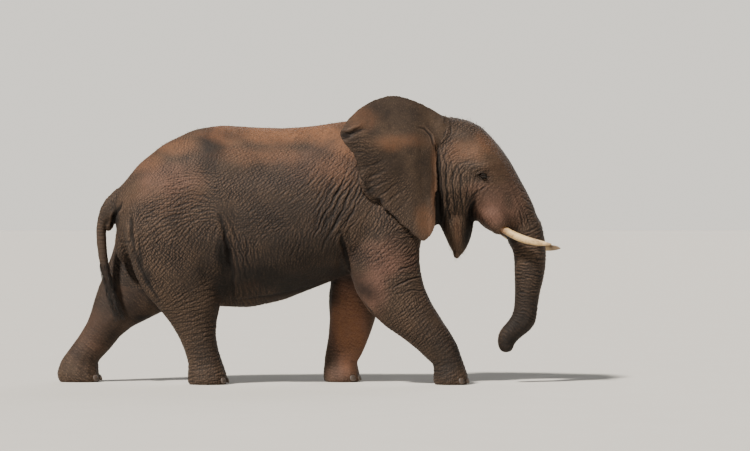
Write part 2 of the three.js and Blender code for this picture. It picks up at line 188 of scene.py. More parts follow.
def joined(names, grow):
    """The named solids as one set of triangles, each moved out a little so that they overlap."""
    points_all, faces_all, held = [], [], 0
    for name in names:
        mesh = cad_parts[name].data
        points, corners = shape_of(mesh)
        face = np.empty(len(mesh.polygons) * 3, np.float32)
        mesh.polygons.foreach_get("normal", face)
        face = np.repeat(face.reshape(-1, 3), 3, axis=0)
        key = np.round(points * 1e5).astype(np.int64)
        _, first, same = np.unique(key, axis=0, return_index=True, return_inverse=True)
        same = same.reshape(-1)
        out = np.stack([np.bincount(same[corners], face[:, k], len(first)) for k in range(3)], 1)
        points_all.append(points[first] + unit(out) * grow(name))
        faces_all.append(same[corners].reshape(-1, 3) + held)
        held += len(first)
    return np.concatenate(points_all), np.concatenate(faces_all)


def ball(centre, radii, tilt=0.0, rows=12):
    """A closed egg shape, tilted forward about Y."""
    turns = rows * 5 // 3
    up, turn = np.meshgrid(np.linspace(0, math.pi, rows + 1),
                           np.linspace(0, 2 * math.pi, turns, False), indexing="ij")
    points = np.stack([np.sin(up) * np.cos(turn), np.sin(up) * np.sin(turn), np.cos(up)], 2)
    points = points.reshape(-1, 3) * radii
    c, s = math.cos(tilt), math.sin(tilt)
    points = points @ np.array([[c, 0, s], [0, 1, 0], [-s, 0, c]]) + centre
    faces = []
    for i in range(rows):
        for k in range(turns):
            a, b = i * turns + k, i * turns + (k + 1) % turns
            faces += [(a, a + turns, b + turns), (a, b + turns, b)]
    return points, np.array(faces)


def tube_faces(rings, sides):
    """The triangles of a tube, from ring to ring and over its two ends."""
    faces = []
    for i in range(rings - 1):
        for k in range(sides):
            a, b = i * sides + k, i * sides + (k + 1) % sides
            faces += [(a, b, b + sides), (a, b + sides, a + sides)]
    last = (rings - 1) * sides
    faces += [(0, k + 1, k) for k in range(1, sides - 1)]
    faces += [(last, last + k, last + k + 1) for k in range(1, sides - 1)]
    return np.array(faces)


def together(shapes):
    """Several sets of points and faces as one set of triangles."""
    held, points, faces = 0, [], []
    for p, f in shapes:
        if f.shape[1] == 4:
            f = np.concatenate([f[:, [0, 1, 2]], f[:, [0, 2, 3]]])
        points.append(p)
        faces.append(f + held)
        held += len(p)
    return np.concatenate(points), np.concatenate(faces)


def grown_together(points, faces, grid):
    """The union of closed shapes as one even surface of four-sided faces."""
    rough = piece("rough", points, faces)
    change = rough.modifiers.new("even", "REMESH")
    change.mode = "VOXEL"
    change.voxel_size = grid
    done = rough.evaluated_get(bpy.context.evaluated_depsgraph_get()).data
    points, corners = shape_of(done)
    bpy.data.objects.remove(rough)
    return points, corners.reshape(-1, 4)


def nearest_part(points, names):
    """The number of the nearest of the named solids, for each point."""
    points_all, faces_all, owner, held = [], [], [], 0
    for k, name in enumerate(names):
        p, corners = shape_of(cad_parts[name].data)
        points_all.append(p)
        faces_all.append(corners.reshape(-1, 3) + held)
        owner += [k] * (len(corners) // 3)
        held += len(p)
    tree = BVHTree.FromPolygons(np.concatenate(points_all).tolist(), np.concatenate(faces_all).tolist())
    find = tree.find_nearest
    found = np.fromiter((find(p)[2] for p in points.tolist()), np.int32, len(points))
    return np.array(owner)[found]


# ---------------------------------------------------------------- the bare form

# how fast each part of the body is evened out: broad muscle most, and toes and tail least
EASE = {"torso": .5, "neck": .4, "head": .12, "jaw": .08, "trunk_upper": .10, "trunk_middle": .07,
        "trunk_tip": .04, "tail": .03, "upper": .3, "lower": .12, "foot": .03}


def ease_of(name):
    """The rate at which a solid's surface is evened out."""
    return next(v for k, v in EASE.items() if name.startswith(k) or name.endswith(k))


def bare_body():
    """All the flesh but the ears, its edges evened away."""
    shapes = joined(BODY, lambda n: TUFT_SPARE if n == "tail_tuft" else OVERLAP)
    form, faces = grown_together(*shapes, ROUGH_GRID)
    edges = edges_of(faces)
    rate = evened(np.array([ease_of(n) for n in BODY])[nearest_part(form, BODY)], edges, 12)
    form = evened(form, edges, 70, rate)
    # evening draws round forms in, so they are let out again
    return form + normals_of(form, faces) * (12 * MM * rate[:, None]), faces


def bare_ear(name):
    """An ear's flap: its sheet is evened a lot, its outline a little."""
    flap, faces = grown_together(*joined([name], lambda n: EAR_SPARE), EAR_GRID)
    edges = edges_of(faces)
    flat, outline = evened(flap[:, 1], edges, 70), evened(flap, edges, 14)
    flap = np.stack([outline[:, 0], flat, outline[:, 2]], 1)
    return flap + normals_of(flap, faces) * (15 * MM, 0, 15 * MM), faces


def leaf(outline, side, thick):
    """A flat leaf that fills an outline of (x, y, z), with y outwards, and is rounded at its rim."""
    line = curve_through((*outline, outline[0]), 60)[:-1] * (1, side, 1)
    middle = line.mean(0)
    reaches = ((1, 0.02), (1, .35), (1, .65), (1, .88), (1, 1), (-1, .88), (-1, .65), (-1, .35), (-1, 0.02))
    rings = [middle + (line - middle) * r + (0, s * thick * math.sqrt(1 - r * r), 0) for s, r in reaches]
    return np.concatenate(rings), tube_faces(len(rings), len(line))


EAR_ROOT = (1.37, 0.27, 2.66)
# the muscle that joins the top of the ear to the head, and the full lobe at the ear's lowest point
EAR_ROOT_LEAF = ((1.16, .22, 2.86), (1.25, .21, 2.855), (1.36, .18, 2.80), (1.47, .13, 2.745),
                 (1.54, .21, 2.60), (1.46, .28, 2.50), (1.34, .32, 2.44), (1.22, .34, 2.50),
                 (1.12, .30, 2.68))
LOBE_LEAF = ((1.29, .385, 1.90), (1.325, .41, 1.70), (1.305, .445, 1.58), (1.245, .47, 1.49),
             (1.16, .485, 1.475), (1.08, .48, 1.53), (1.00, .48, 1.64), (1.05, .47, 1.80),
             (1.15, .43, 1.95))
# Balls that fill out the flesh, with centre, radii and forward tilt: the root of the tail, the
# cleft beneath it, the far thigh and the tip of the jaw.
FILLING = (
    ((-2.05, 0, 1.69), (0.05, 0.05, 0.11), -0.2),
    ((-1.90, 0, 1.46), (0.10, 0.16, 0.22), 0.0),
    ((-2.00, 0.30, 0.95), (0.12, 0.16, 0.36), -0.45),
    ((1.538, 0, 1.348), (0.040, 0.065, 0.062), 0.0),
)

shapes = [bare_body()] + [bare_ear(name) for name in EARS]
for side in (-1, 1):
    shapes.append(leaf(EAR_ROOT_LEAF, side, 42 * MM))
    shapes.append(leaf(LOBE_LEAF, side, 13 * MM))
    # flesh behind the ear's edge, so that no daylight shows between it and the shoulder
    shapes.append(ball((0.66, side * 0.53, 2.03), (0.11, 0.075, 0.16), 0.5))
shapes += [ball(*filled) for filled in FILLING]
skin, quads = grown_together(*together(shapes), SKIN_GRID)
edges = edges_of(quads)
skin = evened(skin, edges, 4)
# the ear's root blends into the head
for side in (-1, 1):
    far = np.linalg.norm((skin - np.array(EAR_ROOT) * (1, side, 1)) / (0.32, 0.34, 0.28), axis=1)
    skin = evened_near(skin, edges, 60, 0.6 * (1 - soft_step(0.5, 1.0, far)))
own = nearest_part(skin, FLESH)


def belongs(*words):
    """Which points are nearest to the solids whose names hold one of the words."""
    return np.array([any(w in n for w in words) for n in FLESH])[own]


on_ear = evened(belongs("ear_").astype(float), edges, 5)
normal = normals_of(skin, quads)
skin -= normal * (on_ear * EAR_SPARE)[:, None]
normal = normals_of(skin, quads)

# Soft swells and hollows: on what, the place on the side (x, z), half its length and height, its
# tilt in degrees, and how far out in millimetres.
SWELLS = (
    ("head", 1.64, 2.44, .20, .10, 20, -18), ("head", 1.80, 2.235, .13, .045, 5, 16),
    ("head", 1.775, 2.13, .075, .05, 15, -12), ("head", 1.92, 1.82, .19, .17, 30, 16),
    ("head", 1.685, 1.74, .045, .11, -10, -38), ("head", 1.53, 2.20, .10, .30, 0, -8),
    ("head", 2.08, 1.76, .09, .14, 20, 10), ("head", 1.56, 2.02, .16, .10, 10, 8),
    ("head", 1.335, 1.95, .035, .42, 2, -30), ("ear", 1.255, 1.95, .06, .40, 2, 14),
    ("ear", .44, 2.60, .11, .028, 28, 26), ("ear", .395, 2.545, .05, .034, 10, -42),
    ("ear", .41, 2.48, .06, .03, -30, 12),
    ("body", -.81, 1.15, .09, .40, -4, -58), ("body", -1.10, 1.35, .28, .40, 10, 18),
    ("body", .36, 1.30, .05, .26, -12, -26), ("body", .85, 1.75, .25, .35, 0, 12),
    ("body", -1.0, 2.42, .14, .12, 0, 16), ("body", -.45, 2.20, .25, .12, 10, -14),
)
places = {"body": ~belongs("ear_", "head", "jaw", "trunk", "tail", "_left_", "foot"),
          "head": belongs("head", "neck", "jaw", "torso_chest", "trunk_upper"), "ear": belongs("ear_"),
          "rear": belongs("tail_root", "torso_rump")}
outward = soft_step(0.0, 0.4, normal[:, 1] * np.sign(skin[:, 1]))
swell = np.zeros(len(skin))
for where, at_x, at_z, half_x, half_z, tilt, amount in SWELLS:
    c, s = math.cos(math.radians(tilt)), math.sin(math.radians(tilt))
    dx, dz = skin[:, 0] - at_x, skin[:, 2] - at_z
    far = ((dx * c + dz * s) / half_x) ** 2 + ((dz * c - dx * s) / half_z) ** 2
    swell += amount * MM * np.exp(-far) * outward * places[where]
# The tail is thicker than the solid's, and so are the trunk's lower bend and its outer edge: the
# place (x, z), how far round it, which way out, and how far out in millimetres.
swell += 13 * MM * belongs("tail") * soft_step(1.75, 1.55, skin[:, 2])
FULLER = ((2.36, .60, .15, (.8, 0, -.6), 28), (2.45, 1.25, .26, (1, 0, 0), 12))
for at_x, at_z, reach, way, amount in FULLER:
    near = np.exp(-(np.hypot(skin[:, 0] - at_x, skin[:, 2] - at_z) / reach) ** 2)
    swell += amount * MM * near * soft_step(0, .5, normal @ way) * belongs("trunk")
skin += normal * evened(swell, edges, 4)[:, None]
skin[:, 2] = np.maximum(skin[:, 2], 0)
normal = normals_of(skin, quads)
rim = np.clip(evened((np.abs(normal[:, 1]) < 0.6) * (on_ear > .5) * 1.0, edges, 10) * 3, 0, 1)
skin = evened_near(skin, edges, 10, 0.5 * rim * on_ear)

# Notches torn in the ears' rear edges: side, x, z, reach and depth in millimetres. The corner
# of the right ear stands out, so its depth is below nought.
NOTCHES = (
    ("right", .35, 2.55, 60, -28),
    ("right", .64, 1.985, 34, 26),
    ("right", .735, 1.880, 26, 20),
    ("right", .885, 1.690, 22, 18),
    ("left", .50, 2.26, 30, 24),
    ("left", .80, 1.80, 24, 16),
)
EAR_MIDDLE = (0.96, 2.26)
for side_name, at_x, at_z, reach, deep in NOTCHES:
    gap = np.hypot(skin[:, 0] - at_x, skin[:, 2] - at_z)
    cut = deep * MM * np.exp(-(gap / (reach * MM)) ** 2) * on_ear * (skin[:, 1] * SIDES[side_name] > 0)
    inwards = unit(np.array((EAR_MIDDLE[0] - at_x, EAR_MIDDLE[1] - at_z)))
    skin[:, 0] += cut * inwards[0]
    skin[:, 2] += cut * inwards[1]

# the two nostrils, side by side in the trunk's end
NOSTRIL = (2.085, 0.029, 0.36)
NOSTRIL_WAY = np.array((0.50, 0, -0.866))
NOSTRIL_REACH = 17 * MM
NOSTRIL_DEPTH = 34 * MM
nostril = np.zeros(len(skin))
for side in (-1, 1):
    off = skin - (NOSTRIL[0], side * NOSTRIL[1], NOSTRIL[2])
    off -= (off @ NOSTRIL_WAY)[:, None] * NOSTRIL_WAY
    faces_out = soft_step(0.1, 0.5, normal @ NOSTRIL_WAY) * belongs("trunk_tip")
    nostril = np.maximum(nostril, np.exp(-(np.linalg.norm(off, axis=1) / NOSTRIL_REACH) ** 4) * faces_out)
skin -= NOSTRIL_WAY * (NOSTRIL_DEPTH * nostril)[:, None]
normal = normals_of(skin, quads)
x, y, z = skin.T
outward = soft_step(0.05, 0.45, normal[:, 1] * np.sign(y))

# ---------------------------------------------------------------- the lie of the folds

# the middle line (x, z) of each limb, from its root down
LEG_LINES = {
    "fore_right": ((.78, 1.49), (.80, 1.15), (.90, .87), (1.07, .66), (1.235, .51), (1.365, .36),
                   (1.47, .10)),
    "fore_left": ((.71, 1.47), (.59, 1.19), (.49, .94), (.46, .66), (.42, .455), (.365, .29),
                  (.35, .08)),
    "hind_right": ((-1.40, 1.65), (-1.37, 1.31), (-1.31, 1.02), (-1.20, .785), (-1.155, .58),
                   (-1.10, .38), (-1.03, .10)),
    "hind_left": ((-1.52, 1.60), (-1.60, 1.26), (-1.74, .96), (-1.94, .76), (-2.10, .61),
                  (-2.20, .45), (-2.39, .12)),
}
TRUNK_LINE = ((2.16, 1.72), (2.23, 1.58), (2.28, 1.45), (2.295, 1.30), (2.285, 1.10), (2.27, .915),
              (2.25, .76), (2.20, .62), (2.10, .52), (2.05, .44), (2.045, .33))
TAIL_LINE = ((-2.00, 1.81), (-2.085, 1.75), (-2.13, 1.67), (-2.14, 1.535), (-2.126, 1.34),
             (-2.093, 1.14), (-2.044, .95), (-1.99, .78), (-1.955, .685))


def along(points, line):
    """The direction up a limb and the way down it, for points near its line in the XZ plane."""
    line = np.array(line)
    start, step = line[:-1], np.diff(line, axis=0)
    length = np.linalg.norm(step, axis=1)
    gone = np.concatenate([[0], np.cumsum(length)[:-1]])
    flat = points[:, [0, 2]]
    total, way, share = np.zeros((len(points), 2)), np.zeros(len(points)), np.zeros(len(points))
    for k in range(len(step)):
        t = np.clip((flat - start[k]) @ step[k] / length[k] ** 2, 0, 1)
        gap = np.linalg.norm(flat - start[k] - t[:, None] * step[k], axis=1)
        w = 1 / (gap ** 2 + 1e-4) ** 2
        total -= w[:, None] * step[k] / length[k]
        way += w * (gone[k] + t * length[k])
        share += w
    axis = unit(total)
    return np.stack([axis[:, 0], np.zeros(len(points)), axis[:, 1]], 1), way / share


# Where on the side (x, z), the angle of the folds in degrees, up towards the head, and the depth
# in millimetres of fine, middle and broad folds and of those across them.
LIE = (
    (-.99, 2.50, 80, .7, .3, 0, .3), (-.38, 2.50, 20, .6, .2, 0, .3), (.23, 2.50, 50, .6, .3, 0, .2),
    (-1.32, 2.35, 75, 1.1, .5, 0, .6), (-1.65, 2.09, 60, 1.3, .5, 0, .8),
    (-.68, 2.30, 45, 1.2, .6, 0, .8), (-.17, 2.30, 42, 1.4, .7, 0, .8),
    (.28, 2.25, 60, 1.6, 1.2, .6, .6), (-.79, 2.04, 50, 1.4, .8, 0, 1), (-.38, 1.99, 40, 1.8, 1, 0, 1),
    (-.02, 1.99, 48, 1.8, 1.4, .8, .8), (.28, 1.99, 64, 1.8, 2, 2.5, .5),
    (.51, 1.94, 70, 1.6, 2, 2, .4), (-.58, 1.69, 20, 1.8, 1, 0, 1), (-.28, 1.74, 32, 2, 1.2, .3, 1),
    (-.02, 1.74, 55, 2, 1.6, 1.2, .6), (.18, 1.74, 66, 2, 2.2, 3, .4),
    (.39, 1.74, 62, 1.8, 1.8, 2.2, .5), (-.17, 1.43, 80, 1.6, 1.2, .6, .6),
    (.13, 1.38, 70, 1.4, 1, .6, .4), (-.28, 1.20, 90, 1.3, .9, .2, .6), (-.07, .99, 8, .9, .7, .3, .3),
    (-.50, 1.02, 95, 1, 1.5, 1, .2), (-.72, 1.38, 106, 1.8, 1.6, 1.5, .3),
    (-.84, 1.77, 115, 1.6, 1.2, .6, .6), (-1.60, 1.94, 10, 1.6, 1.6, .6, 1.2),
    (-1.30, 2.04, 5, 1.6, 1.6, .6, 1.2), (-1.04, 1.99, -20, 1.6, 1.6, .5, 1.2),
    (-1.60, 1.79, 22, 2, 2.2, 1, 1.4), (-1.30, 1.81, 20, 2, 2.4, 1, 1.4),
    (-1.02, 1.74, 10, 1.8, 1.8, .6, 1.2), (-1.60, 1.56, 40, 2, 2, .8, 1.2),
    (-1.30, 1.58, 38, 2.2, 2, .6, 1.4), (-1.03, 1.51, 60, 2, 1.4, .3, 1.4),
    (-1.50, 1.32, 60, 1.8, 1.2, .2, 1.4), (-1.24, 1.32, 75, 1.8, 1, .1, 1.4),
    (-.99, 1.26, 88, 1.6, 1, .1, 1.2), (-1.80, 1.74, 85, 1.4, 1.2, .6, .6),
    (-1.30, 1.02, 85, 1.6, .8, 0, 1.4), (-1.09, .89, 85, 1.6, .8, 0, 1.4),
    (.64, 1.74, 72, 1.8, 1.4, .8, .5), (.79, 1.51, 50, 1.8, 1.4, .5, .6),
    (.59, 1.43, 42, 1.6, 1.2, .3, 1), (.97, 1.48, 32, 1.8, 1.6, .5, .5),
    (.79, 1.28, 35, 1.8, 1.2, .2, 1), (1.05, 1.23, 28, 1.8, 1.8, .8, .4),
    (1.10, 1.02, 25, 1.8, 2, 1, .4), (.84, 1.07, 30, 1.2, .8, .1, .8), (.64, 1.13, 30, .8, .4, 0, .6),
    (.59, .90, 20, .3, .2, 0, .2), (.95, .80, 85, 1.2, .4, 0, 1.2), (1.35, 2.65, 75, 1.8, 1.4, .3, .5),
    (1.51, 2.60, 68, 1.6, 1.2, .2, .5), (1.67, 2.58, 60, 1, .6, 0, .4), (1.86, 2.48, 40, .9, .3, 0, .5),
    (1.41, 2.40, 65, 1.8, 1.6, .5, .4), (1.58, 2.38, 20, .7, .3, 0, .5), (1.78, 2.35, 0, .7, .2, 0, .5),
    (1.41, 2.14, 88, 1.6, 2, 2, .3), (1.56, 2.09, 85, 1.6, 1.8, 1.2, .3),
    (1.66, 1.97, 100, 1.4, 1.4, .6, .4), (1.41, 1.84, 95, 1.6, 2, 2.2, .2),
    (1.56, 1.79, 92, 1.4, 1.6, 1.2, .3), (1.66, 1.73, 85, 1.4, 1.4, .6, .3),
    (1.51, 1.52, 100, .8, .8, .4, .2), (1.56, 1.38, 95, .4, .4, .2, .1),
    (1.91, 1.84, 60, .7, .2, 0, .6), (1.97, 1.67, 60, .6, .2, 0, .5), (2.12, 1.84, 50, .8, .6, 0, .4),
    (2.17, 1.67, 100, 1, .8, 0, .3), (1.71, 1.92, 45, 1.2, 1.2, .4, .3),
    (1.91, 2.09, 20, .8, .6, 0, .4), (1.97, 2.32, 20, .5, .3, 0, .3), (2.13, 2.07, 25, .8, .6, 0, .3),
    (2.23, 1.92, 30, 1.4, 1.2, .3, .4), (2.32, 1.74, 15, 1.6, 1.6, .5, .3),
)
EAR_LIE = (
    (.54, 2.81, 40, .3, .2, 0, .1), (.95, 2.86, 0, .2, .1, 0, 0), (.44, 2.55, 10, .8, 1.2, 1, .2),
    (.49, 2.35, 10, 1.2, 1.4, .8, .3), (.69, 2.20, 20, 1.4, 1.6, .8, .4),
    (.59, 2.09, 25, 1.6, 1.8, 1, .4), (.95, 2.25, 15, .6, .4, 0, .2), (.79, 1.94, 38, 1.6, 1.8, 1, .4),
    (.95, 1.99, 30, 1, .8, .3, .3), (.95, 1.74, 50, 1.4, 1.4, .6, .4), (1.15, 2.04, 70, .5, .3, 0, .2),
    (1.10, 1.69, 65, 1, .8, .3, .3), (1.20, 1.58, 75, .8, .6, .2, .3), (1.20, 2.40, 80, .3, .2, 0, .1),
    (.90, 2.50, 10, .2, .1, 0, .1),
)


def from_lie(lie):
    """The angle of the folds and their depths, spread from the places of a table over a side."""
    table = np.array(lie)
    twice = np.radians(2 * table[:, 2])
    column = np.column_stack([np.cos(twice), np.sin(twice), table[:, 3:]])
    total, share = np.zeros((len(skin), column.shape[1])), np.zeros(len(skin))
    for k in range(len(table)):
        w = 1 / ((x - table[k, 0]) ** 2 + (z - table[k, 1]) ** 2 + 0.09 ** 2) ** 2
        total += w[:, None] * column[k]
        share += w
    total /= share[:, None]
    return 0.5 * np.arctan2(total[:, 1], total[:, 0]), total[:, 2:]


angle, depths = from_lie(LIE)
depths *= np.array((1.6, 0.65, 0.5, 1.7))
angle += math.radians(13) * drift(skin, 0.28, 3) + math.radians(7) * drift(skin, 0.12, 4)
hoop = unit(np.cross(normal, (1.0, 0, 0)))
lengthways = unit(np.cross(hoop, normal))
main = (-np.cos(angle) * np.tanh(y / 0.12))[:, None] * lengthways + np.sin(angle)[:, None] * hoop

# the same depths for each limb, and where on the way down it, in metres, they begin and are full
LIMB_DEPTHS = {"fore_right": (1.6, .8, .1, 1.4), "fore_left": (1.0, .3, .1, .5),
               "hind_right": (1.7, .9, .2, 1.3), "hind_left": (1.1, .3, .2, .5),
               "trunk": (1.1, .5, .1, .6), "tail": (.7, .4, .1, .4)}
limbs = [(belongs(f"_{leg}_", f"foot_{leg}"), LEG_LINES[leg], leg,
          (.15, .45) if "left" in leg else (.45, .85)) for leg in LEGS]
limbs.append((belongs("trunk"), TRUNK_LINE, "trunk", (-.1, .2)))
limbs.append((belongs("tail"), TAIL_LINE, "tail", (0, .15)))
way_down = np.zeros(len(skin))
for some, line, kind, begin in limbs:
    axis, way = along(skin[some], line)
    way_down[some] = way
    share = soft_step(*begin, way)[:, None]
    main[some] = main[some] * (1 - share) + unit(np.cross(axis, normal[some])) * share
    depths[some] = depths[some] * (1 - share) + np.array(LIMB_DEPTHS[kind]) * share
ear_angle, ear_depths = from_lie(EAR_LIE)
ear_depths *= np.array((1.5, 0.32, 0.2, 1.0))
ear_angle += math.radians(12) * drift(skin, 0.20, 5)
ear_main = np.stack([np.cos(ear_angle), np.zeros(len(x)), np.sin(ear_angle)], 1)
main = main * (1 - on_ear[:, None]) + ear_main * on_ear[:, None]
depths = depths * (1 - on_ear[:, None]) + (ear_depths * (1 - rim)[:, None]) * on_ear[:, None]
main = unit(main - normal * (main * normal).sum(1, keepdims=True))


def neighbours_of(faces, size, most=12):
    """For each point the numbers of the points round it, over faces' corners too, or itself."""
    a, b = edges
    corner = np.concatenate([faces[:, [0, 2]], faces[:, [1, 3]]]).astype(np.int64)
    start = np.concatenate([a, b, corner[:, 0], corner[:, 1]])
    end = np.concatenate([b, a, corner[:, 1], corner[:, 0]])
    order = np.argsort(start, kind="stable")
    start, end = start[order], end[order]
    first = np.searchsorted(start, np.arange(size))
    place = np.arange(len(start)) - first[start]
    keep = place < most
    around = np.repeat(np.arange(size)[:, None], most, axis=1)
    around[start[keep], place[keep]] = end[keep]
    return around


around = neighbours_of(quads, len(skin))


def steps_along(lie):
    """Where one step ahead and one step back along the lie falls: two neighbours and a share."""
    beside_way = np.cross(normal, lie)
    ahead, beside = np.empty(around.shape, np.float32), np.empty(around.shape, np.float32)
    for k in range(around.shape[1]):
        d = skin[around[:, k]] - skin
        ahead[:, k] = (d * lie).sum(1)
        beside[:, k] = (d * beside_way).sum(1)
    own_place = around == np.arange(len(skin))[:, None]
    rows = np.arange(len(skin))
    found = []
    for sign in (1, -1):
        turn = np.arctan2(beside * sign, ahead * sign)
        turn[own_place] = 9
        left = np.where(turn >= 0, turn, 9).argmin(1)
        turn[own_place] = -9
        right = np.where(turn < 0, turn, -9).argmax(1)
        to_left, to_right = np.abs(beside[rows, left]), np.abs(beside[rows, right])
        share = (to_left / np.maximum(to_left + to_right, 1e-9)).astype(np.float32)
        found.append((around[rows, left], around[rows, right], share))
    return found


def drawn_out(noise, steps, reach):
    """Noise averaged along the lie, so that it forms streaks."""
    total = noise.copy()
    for a, b, share in steps:
        now = noise
        for _ in range(reach):
            now = now[a] * (1 - share) + now[b] * share
            total += now
    return total / (2 * reach + 1)


def furrows(steps, reach, wide, rounds, first=1, bias=0.25):
    """Folds along the lie that branch and break off: 1 at the bottom of a furrow, 0 on the tops."""
    n = evened(rng.standard_normal(len(skin)), edges, first)
    for _ in range(rounds):
        near = drawn_out(n.astype(np.float32), steps, reach).astype(float)
        gap = near - evened(near, edges, wide)
        n = np.tanh(1.6 * gap / gap.std() + bias)
    return soft_step(0.15, 1.0, -n), n


def turned(degrees):
    """Steps along the lie when it is turned on the skin."""
    slant = math.radians(degrees)
    return steps_along(math.cos(slant) * main + math.sin(slant) * np.cross(normal, main))


main_steps = steps_along(main)
across_steps = turned(70)
# two fine sets cross at a slant, so that the skin between them stands in long lozenges
fine = np.maximum(furrows(turned(21), 3, 5, 3)[0], furrows(turned(-21), 3, 5, 3)[0])
middle, middle_swell = furrows(main_steps, 5, 14, 3, first=3)
broad, broad_swell = furrows(main_steps, 10, 60, 3, first=10)
cross, _ = furrows(across_steps, 3, 6, 3)
deep = depths * np.array((1, 1.5, 2, 1)) * (1 + 0.35 * drift(skin, 0.35, 8))[:, None]
net = deep[:, 0] * fine + deep[:, 1] * middle + deep[:, 2] * broad + deep[:, 3] * cross
# the trunk's rings are worn smooth towards its tip
RING_GAP = 35 * MM
on_trunk = evened(belongs("trunk").astype(float), edges, 6)
turn = way_down / RING_GAP + 0.25 * drift(skin, 0.14, 41) + 0.10 * drift(skin, 0.05, 42)
ring = (0.5 + 0.5 * np.cos(2 * math.pi * turn)) ** 3 * on_trunk * soft_step(1.55, 1.0, way_down)
net += 3.6 * ring * (1 + 0.5 * drift(skin, 0.12, 43))
height = -net + 0.5 * (deep[:, 1] * middle_swell + deep[:, 2] * broad_swell)

